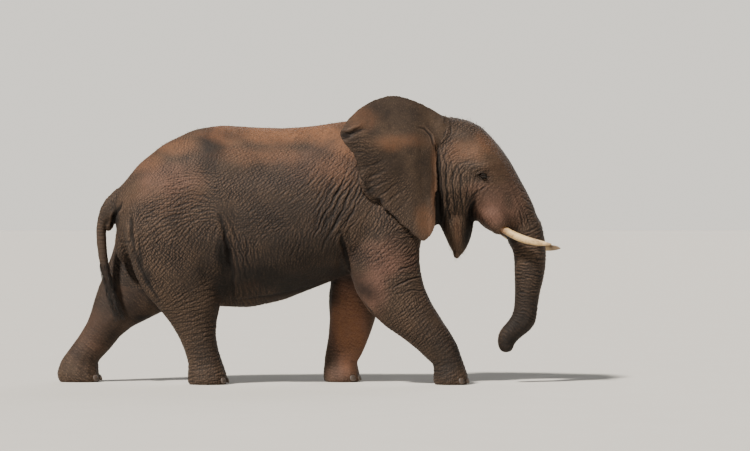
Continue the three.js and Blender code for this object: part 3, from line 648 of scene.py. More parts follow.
# The deep folds: on what, width and depth in millimetres, and the line of the fold on the side.
FOLDS = (
    ("body", 11, 9, ((.509, 2.216), (.437, 1.992), (.335, 1.737), (.213, 1.533), (.142, 1.360))),
    ("body", 9, 7, ((.427, 2.246), (.346, 2.043), (.233, 1.839), (.111, 1.605), (.060, 1.462))),
    ("body", 10, 6, ((.315, 2.175), (.193, 1.992), (.070, 1.757))),
    ("body", 9, 7, ((.570, 2.094), (.509, 1.890), (.407, 1.666), (.346, 1.554))),
    ("body", 9, 6, ((.386, 2.114), (.295, 1.931), (.152, 1.666))),
    ("body", 22, 24, ((.346, 1.564), (.366, 1.421), (.407, 1.258), (.437, 1.115))),
    ("body", 26, 20, ((-.877, 1.727), (-.826, 1.533), (-.786, 1.319), (-.765, 1.095), (-.755, 0.871))),
    ("body", 10, 9, ((-.775, 1.666), (-.714, 1.482), (-.653, 1.258), (-.612, 1.024))),
    ("body", 10, 8, ((-.826, 1.666), (-.755, 1.431), (-.694, 1.177), (-.653, 0.963))),
    ("body", 9, 6, ((-.704, 1.564), (-.633, 1.340), (-.561, 1.115))),
    ("body", 14, 10, ((-.724, 0.871), (-.459, 0.891), (-.072, 0.973), (.254, 1.075))),
    ("body", 24, 18, ((-1.774, 1.360), (-1.703, 1.197), (-1.601, 1.003), (-1.509, 0.850))),
    ("body", 20, 14, ((-1.794, 1.747), (-1.784, 1.564), (-1.774, 1.401), (-1.784, 1.258))),
    ("body", 16, 18, ((-1.805, 1.70), (-1.802, 1.59), (-1.790, 1.46))),
    ("rear", 20, 30, ((-1.915, 1.87), (-1.955, 1.78), (-2.005, 1.69), (-2.03, 1.62))),
    ("body", 10, 8, ((-1.713, 1.523), (-1.703, 1.360), (-1.672, 1.197))),
    ("body", 16, 5, ((-1.937, 1.472), (-1.855, 1.462), (-1.774, 1.472))),
    ("body", 9, 9, ((.855, 0.993), (.967, 1.044), (1.069, 1.085), (1.171, 1.115))),
    ("body", 8, 6, ((.937, 1.177), (1.049, 1.227), (1.151, 1.268))),
    ("body", 8, 5, ((.977, 1.299), (1.069, 1.329), (1.161, 1.360))),
    ("body", 8, 5, ((.886, 0.922), (1.049, 0.973), (1.201, 0.973))),
    ("body", 12, 12, ((.560, 0.840), (.631, 0.769), (.702, 0.677))),
    ("head", 24, 22, ((1.322, 2.38), (1.330, 2.10), (1.345, 1.85), (1.365, 1.62))),
    ("head", 20, 26, ((1.705, 1.86), (1.680, 1.76), (1.700, 1.66), (1.735, 1.60))),
    ("head", 9, 10, ((1.334, 2.481), (1.354, 2.246), (1.375, 1.992), (1.395, 1.768), (1.415, 1.584))),
    ("head", 9, 8, ((1.385, 2.399), (1.415, 2.196), (1.426, 1.992), (1.446, 1.788), (1.477, 1.625))),
    ("head", 8, 7, ((1.456, 2.348), (1.487, 2.145), (1.497, 1.941), (1.528, 1.727))),
    ("head", 9, 6, ((1.538, 2.277), (1.568, 2.094), (1.579, 1.890), (1.599, 1.727))),
    ("head", 8, 5, ((1.619, 2.134), (1.640, 1.971), (1.640, 1.808))),
    ("head", 8, 5, ((1.507, 2.114), (1.528, 1.890), (1.558, 1.666))),
    ("head", 12, 4, ((1.833, 2.033), (1.790, 2.000), (1.742, 1.961))),
    ("head", 18, 9, ((1.742, 1.961), (1.691, 1.859), (1.670, 1.757), (1.701, 1.666))),
    ("head", 9, 6, ((1.752, 1.992), (1.670, 1.890), (1.629, 1.778))),
    ("head", 16, 3, ((2.047, 2.114), (2.119, 1.992), (2.180, 1.859), (2.220, 1.737), (2.210, 1.605))),
    ("head", 9, 4, ((2.16, 2.03), (2.21, 2.00), (2.26, 1.98))),
    ("head", 9, 5, ((2.19, 1.93), (2.25, 1.89), (2.31, 1.87))),
    ("head", 9, 5, ((2.22, 1.84), (2.28, 1.80), (2.35, 1.78))),
    ("head", 9, 5, ((2.17, 1.79), (2.20, 1.70), (2.23, 1.60))),
    ("head", 9, 5, ((2.23, 1.76), (2.27, 1.68), (2.30, 1.59))),
    ("head", 9, 5, ((1.415, 2.664), (1.395, 2.562), (1.354, 2.471))),
    ("head", 9, 5, ((1.477, 2.685), (1.456, 2.573), (1.415, 2.450))),
    ("ear", 10, 16, ((1.120, 2.634), (1.201, 2.613), (1.263, 2.552), (1.293, 2.471), (1.303, 2.379))),
    ("ear", 16, 14, ((.40, 2.535), (.47, 2.575), (.56, 2.60), (.63, 2.60))),
    ("ear", 18, 6, ((.42, 2.36), (.53, 2.38), (.65, 2.36))),
    ("ear", 15, 7, ((.50, 2.20), (.64, 2.235), (.80, 2.30))),
    ("ear", 12, 8, ((.57, 2.10), (.70, 2.15), (.84, 2.23))),
    ("ear", 10, 8, ((.600, 1.982), (.723, 2.043), (.855, 2.114))),
    ("ear", 10, 8, ((.682, 1.900), (.784, 1.961), (.906, 2.063))),
    ("ear", 10, 6, ((.790, 1.85), (.875, 1.92), (.967, 1.992))),
    ("ear", 14, 5, ((.90, 1.75), (.96, 1.83), (1.028, 1.93))),
    ("ear", 14, 4, ((1.05, 1.60), (1.09, 1.70), (1.13, 1.80))),
    ("ear", 14, -9, ((1.314, 2.379), (1.324, 2.145), (1.334, 1.890), (1.324, 1.635), (1.293, 1.523))),
)
wobble = np.column_stack([drift(skin, 0.16, 21), drift(skin, 0.16, 22)]) * 8 * MM
for where, width, depth, line in FOLDS:
    if where == "ear" and depth > 0:
        depth, width = depth * 0.55, width * 1.25
    line = curve_through(line, 24)
    low, high = line.min(0) - 0.08, line.max(0) + 0.08
    some = np.flatnonzero(places[where] & (x > low[0]) & (x < high[0]) & (z > low[1]) & (z < high[1])
                          & (outward > 0))
    flat = skin[some][:, [0, 2]] + wobble[some]
    best, share = np.full(len(some), 9.0), np.zeros(len(some))
    for k in range(len(line) - 1):
        step = line[k + 1] - line[k]
        t = np.clip((flat - line[k]) @ step / (step @ step), 0, 1)
        gap = np.linalg.norm(flat - line[k] - t[:, None] * step, axis=1)
        share = np.where(gap < best, (k + t) / (len(line) - 1), share)
        best = np.minimum(best, gap)
    fade = np.sin(math.pi * np.clip(share, 0.03, 0.97)) ** 0.6 * outward[some]
    away = best / (width * MM)
    height[some] -= depth * fade * (np.exp(-away ** 2) - 0.28 * np.exp(-(away - 1.9) ** 2))
    net[some] += np.maximum(depth, 0) * 0.5 * fade * np.exp(-(away * 1.5) ** 2)
skin += normal * height[:, None] * MM
# the share of painted shade at the bottom of each fold
fold_shade = np.clip(net / 6, 0, 1)
normal = normals_of(skin, quads)
# how hollow the skin is at each point, for painted shade in hollows and a painted highlight on ridges
hollow_shading = ((evened(skin, edges, 6) - skin) * normal).sum(1) / (2.4 * MM)

# ---------------------------------------------------------------- the colour of each region

# Soft patches of red dust, of rosy skin and of painted shade, on the body and on the far legs, the ears
# and tail: x, z, half length, half height, strength. The far legs' dusty and rosy patches are painted light
# where the body shades them, the dust on the temple and on the ear's front edge and lobe is partly painted
# light, and the dark patches on the ears and tail are partly darker skin.
DUSTY = (
    (-.15, 2.62, .95, .17, .9), (-1.35, 2.45, .28, .12, .55), (-1.65, 2.28, .22, .14, .5),
    (.45, 2.45, .22, .2, .8), (1.62, 2.38, .24, .13, .4), (1.84, 2.47, .12, .13, .4),
    (.30, 2.20, .22, .2, .35), (-.45, 2.35, .5, .1, .4), (1.95, 2.2, .2, .2, .15),
    (-1.5, 2.0, .4, .3, .2), (1.545, 1.55, .05, .2, .3), (-.57, 1.0, .09, .07, .06),
)
FAR_PAINTED_LIGHT = ((.44, .52, .20, .40, .9), (-2.25, .55, .20, .25, .1))
EAR_DUST_AND_PAINTED_LIGHT = (
    (1.21, 1.66, .12, .16, .38), (.52, 2.72, .20, .14, .28), (.92, 2.48, .32, .08, .4),
    (1.30, 2.0, .035, .45, .4),
)
ROSY = (
    (1.93, 1.82, .24, .22, .9), (.78, 1.30, .30, .20, .9), (.60, .95, .22, .25, .9),
    (.85, 2.1, .25, .25, .5), (-1.42, 2.1, .35, .18, .6), (.1, 2.25, .5, .2, .3),
    (2.12, 1.85, .15, .25, .5), (1.80, 2.0, .2, .08, .4),
)
FAR_ROSY_PAINTED_LIGHT = ((.40, .65, .26, .60, 1), (-1.9, .9, .3, .4, .15), (-2.3, .5, .3, .3, .25))
PAINTED_SHADE = (
    (-.25, 1.06, 1.0, .24, 1), (-.25, 1.28, 1.0, .55, .7), (.15, 1.35, .35, .3, .7),
    (-1.0, 2.44, .16, .28, .8), (-.25, 2.10, .6, .30, .35), (2.2, .60, .3, .3, .9),
    (1.3, .6, .2, .3, .4), (-1.70, 1.28, .045, .12, .9), (-1.63, 1.08, .04, .12, .9),
    (2.08, .42, .2, .2, 1), (2.22, .75, .3, .45, .7), (1.36, 1.75, .07, .5, .9),
    (1.68, 1.72, .07, .20, 1), (-.3, 1.70, .8, .35, .6), (-.84, 1.25, .11, .42, 1),
    (-.86, 1.05, .17, .22, 1), (.36, 1.20, .07, .2, 1), (1.66, 1.52, .06, .2, 1),
    (-1.0, 1.6, .2, .2, .3), (2.1, 1.5, .12, .1, .8), (-1.9, 1.1, .2, .3, .6), (-.95, .35, .3, .3, .4),
    (1.45, .3, .3, .3, .7), (1.5, 2.55, .25, .14, .15), (-1.975, 1.72, .05, .13, 1),
    (-.93, .55, .05, .5, .5),
)
EAR_SHADE_AND_DARK_SKIN = (
    (.395, 2.545, .07, .05, 1), (.95, 2.8, .45, .2, .4), (.42, 2.50, .14, .14, .5),
    (.75, 2.2, .4, .3, .35), (.75, 2.30, .35, .11, .4), (1.15, 2.2, .12, .35, .35),
    (.64, 1.985, .06, .05, .9), (.735, 1.88, .05, .04, .9), (.885, 1.69, .04, .04, .8),
)
FAR_PAINTED_SHADE = (
    (.36, 1.25, .35, .25, 1), (.24, 1.0, .14, .30, 1), (-2.01, 1.04, .05, .30, 1),
    (-1.74, 1.18, .06, .10, .9), (-2.1, .7, .5, .6, .65), (-1.70, 1.0, .10, .12, 1),
    (-1.62, .88, .10, .10, 1), (-1.78, 1.12, .06, .12, .8), (-1.53, .80, .10, .10, 1),
    (-1.70, .66, .14, .06, 1), (-1.86, .52, .10, .07, .9),
)
TAIL_SHADE_AND_DARK_SKIN = ((-2.05, .95, .16, .42, 1), (-2.1, 1.45, .15, .4, .5), (-1.975, 1.70, .05, .13, 1))


def patches(table, seed):
    """How strongly each point is marked by a table's patches, whose rims wander."""
    total = np.zeros(len(skin))
    for px, pz, half_x, half_z, strength in table:
        far = np.hypot((x - px) / half_x, (z - pz) / half_z) + 0.22 * drift(skin, 0.30, seed)
        total = np.maximum(total, strength * (1 - soft_step(0.2, 1.45, far)))
    return total


skin_piece = piece("skin", skin, quads)
mark(skin_piece, "fold_shade", fold_shade)
mark(skin_piece, "hollow_shading", hollow_shading)
far_leg = belongs("_left_", "foot_fore_left", "foot_hind_left")
dusty = np.where(on_ear > .5, patches(EAR_DUST_AND_PAINTED_LIGHT, 34), patches(DUSTY, 31))
# on the far legs the dust and rosy colours are painted light, where the body shades them
mark(skin_piece, "dusty", np.where(far_leg, patches(FAR_PAINTED_LIGHT, 38), dusty))
mark(skin_piece, "rosy_skin_and_painted_light", np.where(far_leg, patches(FAR_ROSY_PAINTED_LIGHT, 35), patches(ROSY, 32)) * (1 - on_ear))
dark = np.where(far_leg, patches(FAR_PAINTED_SHADE, 36), patches(PAINTED_SHADE, 33))
dark = np.where(on_ear > .5, patches(EAR_SHADE_AND_DARK_SKIN, 39), dark)
# painted shade in the nostrils and in the dark patches
mark(skin_piece, "dark", np.maximum(np.where(belongs("tail"), patches(TAIL_SHADE_AND_DARK_SKIN, 37), dark), nostril))


# ---------------------------------------------------------------- the eyes and their lids

EYE = (1.799, 0.374, 2.136)
EYE_RADIUS = 30 * MM
EYE_TILT = math.radians(-14)
# the opening between the lids: half its length and half its height
OPENING = (31 * MM, 14 * MM)
# Folds that ring the opening: how far outside it, how deep (or high, below nought) and how wide,
# in millimetres, and how much painted shade lies in them.
LID_FOLDS = ((5, -3.5, 3, 0), (13, 5, 3, 1), (22, -4, 4, 0), (31, 5, 3.5, .9), (44, 3, 3.5, .5),
             (58, 2.5, 4, .4))
# the skin's thickness over the eyeball, and how far round the eye the lids reach
LID_THICK = 4 * MM
LID_REACH = 0.12
# the brow: how far above the eye and behind it, how high and long it is, and how far it hangs out
BROW_UP, BROW_BACK, BROW_HIGH, BROW_LONG, BROW_OUT = (v * MM for v in (36, 20, 9, 60, 13))


def add_lids(mesh):
    """The skin round each eye is cut finer and drawn over the eyeball as two lids with folds."""
    cut_up = bmesh.new()
    cut_up.from_mesh(mesh)
    eyes = [Vector((EYE[0], side * EYE[1], EYE[2])) for side in (-1, 1)]
    for reach in (0.15, 0.12, 0.08):
        near = {v for v in cut_up.verts if min((v.co - e).length for e in eyes) < reach}
        cut = [e for e in cut_up.edges if e.verts[0] in near and e.verts[1] in near]
        bmesh.ops.subdivide_edges(cut_up, edges=cut, cuts=1, use_grid_fill=True, smooth=0)
    cut_up.to_mesh(mesh)
    cut_up.free()
    points, _ = shape_of(mesh)
    lid_skin_and_shade = np.zeros(len(points))
    half_long, half_high = OPENING
    for side in SIDES.values():
        dx, out, dz = (points - (EYE[0], 0, EYE[2])).T * np.array(((1,), (side,), (1,)))
        long = dx * math.cos(EYE_TILT) + dz * math.sin(EYE_TILT)
        high = dz * math.cos(EYE_TILT) - dx * math.sin(EYE_TILT)
        some = (np.hypot(long, high) < LID_REACH) & (out > 0.3)
        long, high, out, dx, dz = (v[some] for v in (long, high, out, dx, dz))
        turn = np.arctan2(high, long)
        half = half_high * (1 - np.clip(long / half_long, -1, 1) ** 2)
        past = np.maximum(np.abs(long) - half_long, 0)
        outside = np.hypot(past, np.maximum(np.abs(high) - half, 0))
        bend = outside * (1 + 0.08 * np.sin(3 * turn + 1) + 0.05 * np.sin(7 * turn))
        # the lids lie on the eyeball
        cover = EYE_RADIUS + LID_THICK
        dome = EYE[1] + np.sqrt(np.maximum(cover ** 2 - dx ** 2 - dz ** 2, 0))
        share = 1 - soft_step(20 * MM, 37 * MM, np.hypot(dx, dz))
        out = out * (1 - share) + np.maximum(dome, out - 8 * MM) * share
        # the brow hangs over the upper lid, and the folds are deeper behind and below the eye
        above = (high - (BROW_UP - 7 * long ** 2)) / BROW_HIGH
        brow = np.exp(-above ** 2 - ((long + BROW_BACK) / BROW_LONG) ** 2)
        out += BROW_OUT * brow
        behind = 0.75 - 0.25 * np.cos(turn - 0.6)
        for at, deep, wide, shade in LID_FOLDS:
            ring = np.exp(-((bend - at * MM) / (wide * MM)) ** 2) * behind
            out -= deep * MM * ring
            lid_skin_and_shade[some] = np.maximum(lid_skin_and_shade[some], shade * ring)
        # inside the opening the skin turns in behind the eyeball's front
        inner = half - np.abs(high)
        out = np.where(inner > 0, EYE[1] + np.where(inner < 1.2 * MM, 16 * MM, 2 * MM), out)
        points[some, 1] = out * side
        # round the opening: the lids' dark skin and painted shade
        lid_skin_and_shade[some] = np.maximum(lid_skin_and_shade[some], 1 - soft_step(11 * MM, 26 * MM, outside))
    mesh.vertices.foreach_set("co", points.astype(np.float32).ravel())
    kept = mesh.attributes.new("lid_skin_and_shade", "FLOAT", "POINT")
    kept.data.foreach_set("value", lid_skin_and_shade.astype(np.float32))
    mesh.update()


add_lids(skin_piece.data)
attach(skin_piece, "root")
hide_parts(*FLESH)


# ---------------------------------------------------------------- materials

def linear(code):
    """A colour from its sRGB hex value."""
    out = []
    for i in (1, 3, 5):
        c = int(code[i:i + 2], 16) / 255
        out.append(c / 12.92 if c <= 0.04045 else ((c + 0.055) / 1.055) ** 2.4)
    return (*out, 1.0)


def add(tree, kind, output, settings=(), **inputs):
    """One node with its settings, and its inputs: each a number, a hex colour or an output."""
    node = tree.nodes.new("ShaderNode" + kind)
    for key, value in dict(settings).items():
        setattr(node, key, value)
    for key, value in inputs.items():
        socket = node.inputs[key.replace("_", " ")]
        if isinstance(value, bpy.types.NodeSocket):
            tree.links.new(value, socket)
        else:
            socket.default_value = linear(value) if isinstance(value, str) else value
    return node.outputs[output] if output else node


def material(name):
    """A new material and its empty node tree."""
    made = bpy.data.materials.new(name)
    made.use_nodes = True
    made.node_tree.nodes.clear()
    return made, made.node_tree


SMOOTH = {"interpolation_type": "SMOOTHSTEP"}
COLOURS = {"data_type": "RGBA"}
NUMBERS = {"data_type": "FLOAT"}
TO_EDGE = {"feature": "DISTANCE_TO_EDGE"}


def elephant_hide():
    """Dry grey-brown hide, dusted with red earth: matt, painted shade in its folds, cracks and hollows, and
    ridges paler from wear and a painted highlight.
    """
    made, tree = material("elephant_hide")
    place = add(tree, "TexCoord", "Object")
    # blotches of dust are 200 mm across, mottling 45 mm, and specks 12 mm
    blotch = add(tree, "TexNoise", "Fac", Vector=place, Scale=5.0, Detail=4.0, Roughness=0.6)
    mottle = add(tree, "TexNoise", "Fac", Vector=place, Scale=22.0, Detail=5.0, Roughness=0.65)
    speck = add(tree, "TexNoise", "Fac", Vector=place, Scale=80.0, Detail=3.0, Roughness=0.6)
    hollow_shading = add(tree, "Attribute", "Fac", {"attribute_name": "hollow_shading"})
    # the net of cracks: real ones are 5 to 8 mm apart, drawn 12 mm apart so that they show
    bent = add(tree, "TexNoise", "Color", Vector=place, Scale=55.0, Detail=2.0)
    bent = add(tree, "Mix", "Result", {"data_type": "VECTOR"}, Factor=0.012, A=place, B=bent)
    cracks = add(tree, "TexVoronoi", "Distance", TO_EDGE, Vector=bent, Scale=85.0, Randomness=1.0)
    crack = add(tree, "MapRange", "Result", SMOOTH, Value=cracks, From_Min=0.0, From_Max=0.16)

    broad = add(tree, "MapRange", "Result", SMOOTH, Value=blotch, From_Min=0.35, From_Max=0.68)
    colour = add(tree, "Mix", "Result", COLOURS, Factor=broad, A="#35291f", B="#443528")
    grimy = add(tree, "MapRange", "Result", SMOOTH, Value=mottle, From_Min=0.48, From_Max=0.66, To_Max=0.4)
    colour = add(tree, "Mix", "Result", COLOURS, Factor=grimy, A=colour, B="#261b14")
    specks = add(tree, "MapRange", "Result", SMOOTH, Value=speck, From_Min=0.5, From_Max=0.75, To_Max=0.25)
    colour = add(tree, "Mix", "Result", COLOURS, Factor=specks, A=colour, B="#826a59")
    # the ridges are paler: wear, and a painted highlight on their tops
    worn_and_lit_ridges = add(tree, "MapRange", "Result", SMOOTH, Value=hollow_shading, From_Min=-0.05, From_Max=-0.6,
                 To_Max=0.35)
    colour = add(tree, "Mix", "Result", COLOURS, Factor=worn_and_lit_ridges, A=colour, B="#755d4c")
    # Each layer lies where its mark on the skin says, and a pattern breaks it up: mark, pattern, where
    # the pattern starts and is full, its least and greatest share, and the colour.
    # the rosy and dusty layers are partly painted light, and the dark layer is painted shade
    for name, pattern, low, high, least, most, over in (
            ("rosy_skin_and_painted_light", blotch, 0.25, 0.7, 0.4, 0.9, "#745346"),
            ("dark", mottle, 0.2, 0.7, 0.75, 1.0, "#0f0b08"),
            ("dusty", mottle, 0.25, 0.65, 0.45, 1.0, "#80573c")):
        marked = add(tree, "Attribute", "Fac", {"attribute_name": name})
        broken = add(tree, "MapRange", "Result", SMOOTH, Value=pattern, From_Min=low, From_Max=high,
                     To_Min=least, To_Max=most)
        share = add(tree, "Mix", "Result", NUMBERS, Factor=marked, A=0.0, B=broken)
        colour = add(tree, "Mix", "Result", COLOURS, Factor=share, A=colour, B=over)
    shaded = add(tree, "MapRange", "Result", SMOOTH, Value=cracks, From_Min=0.10, From_Max=0.0, To_Max=0.35)
    colour = add(tree, "Mix", "Result", COLOURS, Factor=shaded, A=colour, B="#1d1410")
    # painted shade in the hollows
    hollow_painted_shade = add(tree, "MapRange", "Result", SMOOTH, Value=hollow_shading, From_Min=0.05, From_Max=1.0, To_Max=0.75)
    colour = add(tree, "Mix", "Result", COLOURS, Factor=hollow_painted_shade, A=colour, B="#100b08")
    # painted shade in the folds, and round the eyes painted shade over the lids' dark skin
    for name, most in (("fold_shade", 0.8), ("lid_skin_and_shade", 0.92)):
        marked = add(tree, "Attribute", "Fac", {"attribute_name": name})
        share = add(tree, "Mix", "Result", NUMBERS, Factor=marked, A=0.0, B=most)
        colour = add(tree, "Mix", "Result", COLOURS, Factor=share, A=colour, B="#110c09")
    cracked = add(tree, "Bump", "Normal", Height=crack, Strength=0.45, Distance=0.0025)
    grained = add(tree, "Bump", "Normal", Height=speck, Normal=cracked, Strength=0.5, Distance=0.004)
    shader = add(tree, "BsdfPrincipled", "BSDF", Base_Color=colour, Roughness=0.68, IOR=1.45,
                 Specular_IOR_Level=0.27, Normal=grained)
    add(tree, "OutputMaterial", None, Surface=shader)
    return made


def tusk_ivory():
    """Ivory, worn by digging: cream, satin, stained brown in its lengthways cracks and near the lip."""
    made, tree = material("tusk_ivory")
    place = add(tree, "TexCoord", "Object")
    along_x = add(tree, "SeparateXYZ", "X", Vector=place)
    # cracks run along the tusk, 4 to 6 mm apart, each up to 200 mm long
    drawn = add(tree, "Mapping", "Vector", Vector=place, Scale=(0.35, 5, 5))
    grain = add(tree, "TexNoise", "Fac", Vector=drawn, Scale=30.0, Detail=3.0)
    stains = add(tree, "TexNoise", "Fac", Vector=place, Scale=14.0, Detail=5.0)
    stained = add(tree, "MapRange", "Result", SMOOTH, Value=stains, From_Min=0.42, From_Max=0.72)
    colour = add(tree, "Mix", "Result", COLOURS, Factor=stained, A="#d9b883", B="#9a784f")
    cracked = add(tree, "MapRange", "Result", SMOOTH, Value=grain, From_Min=0.56, From_Max=0.70, To_Max=0.8)
    colour = add(tree, "Mix", "Result", COLOURS, Factor=cracked, A=colour, B="#6b4c33")
    # the root, where the lip rubs mud on to it
    muddy = add(tree, "MapRange", "Result", SMOOTH, Value=along_x, From_Min=2.10, From_Max=1.99)
    colour = add(tree, "Mix", "Result", COLOURS, Factor=muddy, A=colour, B="#7c5a3e")
    # the last stretch is stained grey-brown by the soil it digs in
    dug = add(tree, "MapRange", "Result", SMOOTH, Value=along_x, From_Min=2.44, From_Max=2.56, To_Max=0.8)
    colour = add(tree, "Mix", "Result", COLOURS, Factor=dug, A=colour, B="#6a5645")
    bump = add(tree, "Bump", "Normal", Height=grain, Strength=0.5, Distance=0.002)
    shader = add(tree, "BsdfPrincipled", "BSDF", Base_Color=colour, Roughness=0.42, IOR=1.54, Normal=bump)
    add(tree, "OutputMaterial", None, Surface=shader)
    return made


def nail_horn():
    """Toenail horn: grey-brown, ridged up and down, scuffed pale and dusty at its lower edge."""
    made, tree = material("nail_horn")
    place = add(tree, "TexCoord", "Object")
    height_up = add(tree, "SeparateXYZ", "Z", Vector=place)
    # ridges 8 mm apart, which run from the root of the nail to its edge
    drawn = add(tree, "Mapping", "Vector", Vector=place, Scale=(2, 2, 0.25))
    ridge = add(tree, "TexNoise", "Fac", Vector=drawn, Scale=60.0, Detail=3.0)
    dirt = add(tree, "TexNoise", "Fac", Vector=place, Scale=25.0, Detail=4.0)
    ridged = add(tree, "MapRange", "Result", SMOOTH, Value=ridge, From_Min=0.35, From_Max=0.65)
    colour = add(tree, "Mix", "Result", COLOURS, Factor=ridged, A="#2f251d", B="#46392f")
    dirty = add(tree, "MapRange", "Result", SMOOTH, Value=dirt, From_Min=0.50, From_Max=0.70)
    colour = add(tree, "Mix", "Result", COLOURS, Factor=dirty, A=colour, B="#4a382b")
    scuffed = add(tree, "MapRange", "Result", SMOOTH, Value=height_up, From_Min=0.035, From_Max=0.012,
                  To_Max=0.5)
    colour = add(tree, "Mix", "Result", COLOURS, Factor=scuffed, A=colour, B="#75655a")
    bump = add(tree, "Bump", "Normal", Height=ridge, Strength=0.6, Distance=0.003)
    shader = add(tree, "BsdfPrincipled", "BSDF", Base_Color=colour, Roughness=0.65, IOR=1.54, Normal=bump)
    add(tree, "OutputMaterial", None, Surface=shader)
    return made


def wet_eyeball():
    """The wet eye: a black pupil in a dark amber iris, brown about it, under a clear glossy film."""
    made, tree = material("wet_eyeball")
    place = add(tree, "TexCoord", "Object")
    flat = add(tree, "Mapping", "Vector", Vector=place, Location=(-EYE[0], 0, -EYE[2]), Scale=(1, 0, 1))
    away = add(tree, "VectorMath", "Value", {"operation": "LENGTH"}, Vector=flat)
    fleck = add(tree, "TexNoise", "Fac", Vector=flat, Scale=400.0, Detail=2.0)
    flecked = add(tree, "MapRange", "Result", SMOOTH, Value=fleck, From_Min=0.35, From_Max=0.65)
    iris = add(tree, "Mix", "Result", COLOURS, Factor=flecked, A="#1a0d06", B="#3a200e")
    # the pupil is 10 mm across and the iris 25 mm
    pupil_edge = add(tree, "MapRange", "Result", SMOOTH, Value=away, From_Min=0.0045, From_Max=0.0056)
    colour = add(tree, "Mix", "Result", COLOURS, Factor=pupil_edge, A="#030202", B=iris)
    iris_edge = add(tree, "MapRange", "Result", SMOOTH, Value=away, From_Min=0.0112, From_Max=0.0138)
    colour = add(tree, "Mix", "Result", COLOURS, Factor=iris_edge, A=colour, B="#1a110c")
    shader = add(tree, "BsdfPrincipled", "BSDF", Base_Color=colour, Roughness=0.07, IOR=1.376,
                 Coat_Weight=0.15, Coat_Roughness=0.03)
    add(tree, "OutputMaterial", None, Surface=shader)
    return made


def bristle_horn():
    """Stiff hair: nearly black horn with a dull shine, dusty brown here and there."""
    made, tree = material("bristle_horn")
    place = add(tree, "TexCoord", "Object")
    dust = add(tree, "TexNoise", "Fac", Vector=place, Scale=35.0, Detail=4.0)
    dusted = add(tree, "MapRange", "Result", SMOOTH, Value=dust, From_Min=0.45, From_Max=0.75)
    colour = add(tree, "Mix", "Result", COLOURS, Factor=dusted, A="#120e0b", B="#37281d")
    shader = add(tree, "BsdfPrincipled", "BSDF", Base_Color=colour, Roughness=0.48, IOR=1.55)
    add(tree, "OutputMaterial", None, Surface=shader)
    return made


def painted_floor():
    """Pale matt studio paint, rolled on, so very slightly mottled."""
    made, tree = material("painted_floor")
    place = add(tree, "TexCoord", "Object")
    rolled = add(tree, "TexNoise", "Fac", Vector=place, Scale=1.5, Detail=6.0)
    colour = add(tree, "Mix", "Result", COLOURS, Factor=rolled, A="#c3beb5", B="#c8c3bb")
    shader = add(tree, "BsdfPrincipled", "BSDF", Base_Color=colour, Roughness=0.9, Specular_IOR_Level=0.2)
    add(tree, "OutputMaterial", None, Surface=shader)
    return made


skin_piece.data.materials.append(elephant_hide())
ivory, horn, wet_eye, bristle = tusk_ivory(), nail_horn(), wet_eyeball(), bristle_horn()


# ---------------------------------------------------------------- tusks and nails

# Each tusk's middle line and radius, from inside the lip to the tip. The right one is worn shorter.
TUSKS = {
    "right": ((1.88, .232, 1.690, .036), (1.97, .250, 1.615, .036), (2.05, .266, 1.568, .037),
              (2.145, .285, 1.518, .039), (2.25, .305, 1.480, .0375), (2.355, .322, 1.455, .031),
              (2.455, .335, 1.441, .018), (2.50, .340, 1.438, .005)),
    "left": ((1.88, .232, 1.680, .036), (1.98, .252, 1.595, .037), (2.08, .274, 1.525, .039),
             (2.19, .296, 1.470, .040), (2.30, .316, 1.428, .039), (2.41, .333, 1.402, .035),
             (2.50, .342, 1.397, .033), (2.58, .347, 1.396, .025), (2.632, .350, 1.391, .006)),
}


def tusk(side_name, line):
    """A tapered, slightly fluted tube of ivory, rounded off at its worn tip."""
    rings, sides = 64, 28
    line = curve_through(line, rings) * (1, SIDES[side_name], 1, 1)
    centre, radius = line[:, :3], line[:, 3]
    way = unit(np.gradient(centre, axis=0))
    across = unit(np.cross((0, 0, 1.0), way))
    up = np.cross(way, across)
    turn = np.linspace(0, 2 * math.pi, sides, False)
    flute = 1 + 0.012 * np.sin(5 * turn + 1) + 0.008 * np.sin(11 * turn)
    reach = radius[:, None] * flute * (1 + 0.015 * np.sin(np.arange(rings) * 0.9))[:, None]
    points = (centre[:, None] + across[:, None] * (reach * np.cos(turn))[:, :, None]
              + up[:, None] * (reach * np.sin(turn))[:, :, None]).reshape(-1, 3)
    made = piece(f"ivory_tusk_{side_name}", points, tube_faces(rings, sides)[:, ::SIDES[side_name]])
    made.data.materials.append(ivory)
    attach(made, "root")
    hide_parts(f"tusk_{side_name}")


def toenail(name):
    """A broad nail: a flat-bottomed dome that leans back from its lower edge."""
    low, high = (np.array(v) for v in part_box(name))
    foot_low, foot_high = (np.array(v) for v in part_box("foot_" + name[5:-2]))
    middle = (low + high) / 2
    off = (middle - (foot_low + foot_high) / 2) / (foot_high - foot_low) ** 2
    angle = math.atan2(off[1], off[0])
    points, faces = ball((0, 0, 0), (1, 1, 1), 0.0, 16)
    points = np.sign(points) * np.abs(points) ** (1, 0.80, 0.72) * (16 * MM, 38 * MM, 32 * MM)
    # narrower at the top, and leaning back
    points[:, 1] *= 1 - 3.0 * (points[:, 2] + 32 * MM)
    points[:, 0] -= 0.30 * points[:, 2]
    c, s = math.cos(angle), math.sin(angle)
    points = points @ np.array([[c, s, 0], [-s, c, 0], [0, 0, 1]]) + middle - np.array((c, s, 0)) * 3 * MM
    points[:, 2] = np.maximum(points[:, 2], low[2])
    made = piece("horn_" + name, points, faces)
    made.data.materials.append(horn)
    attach(made, "root")
    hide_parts(name)


for side_name, line in TUSKS.items():
    tusk(side_name, line)
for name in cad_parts:
    if name.startswith("nail_"):
        toenail(name)


# ---------------------------------------------------------------- hair

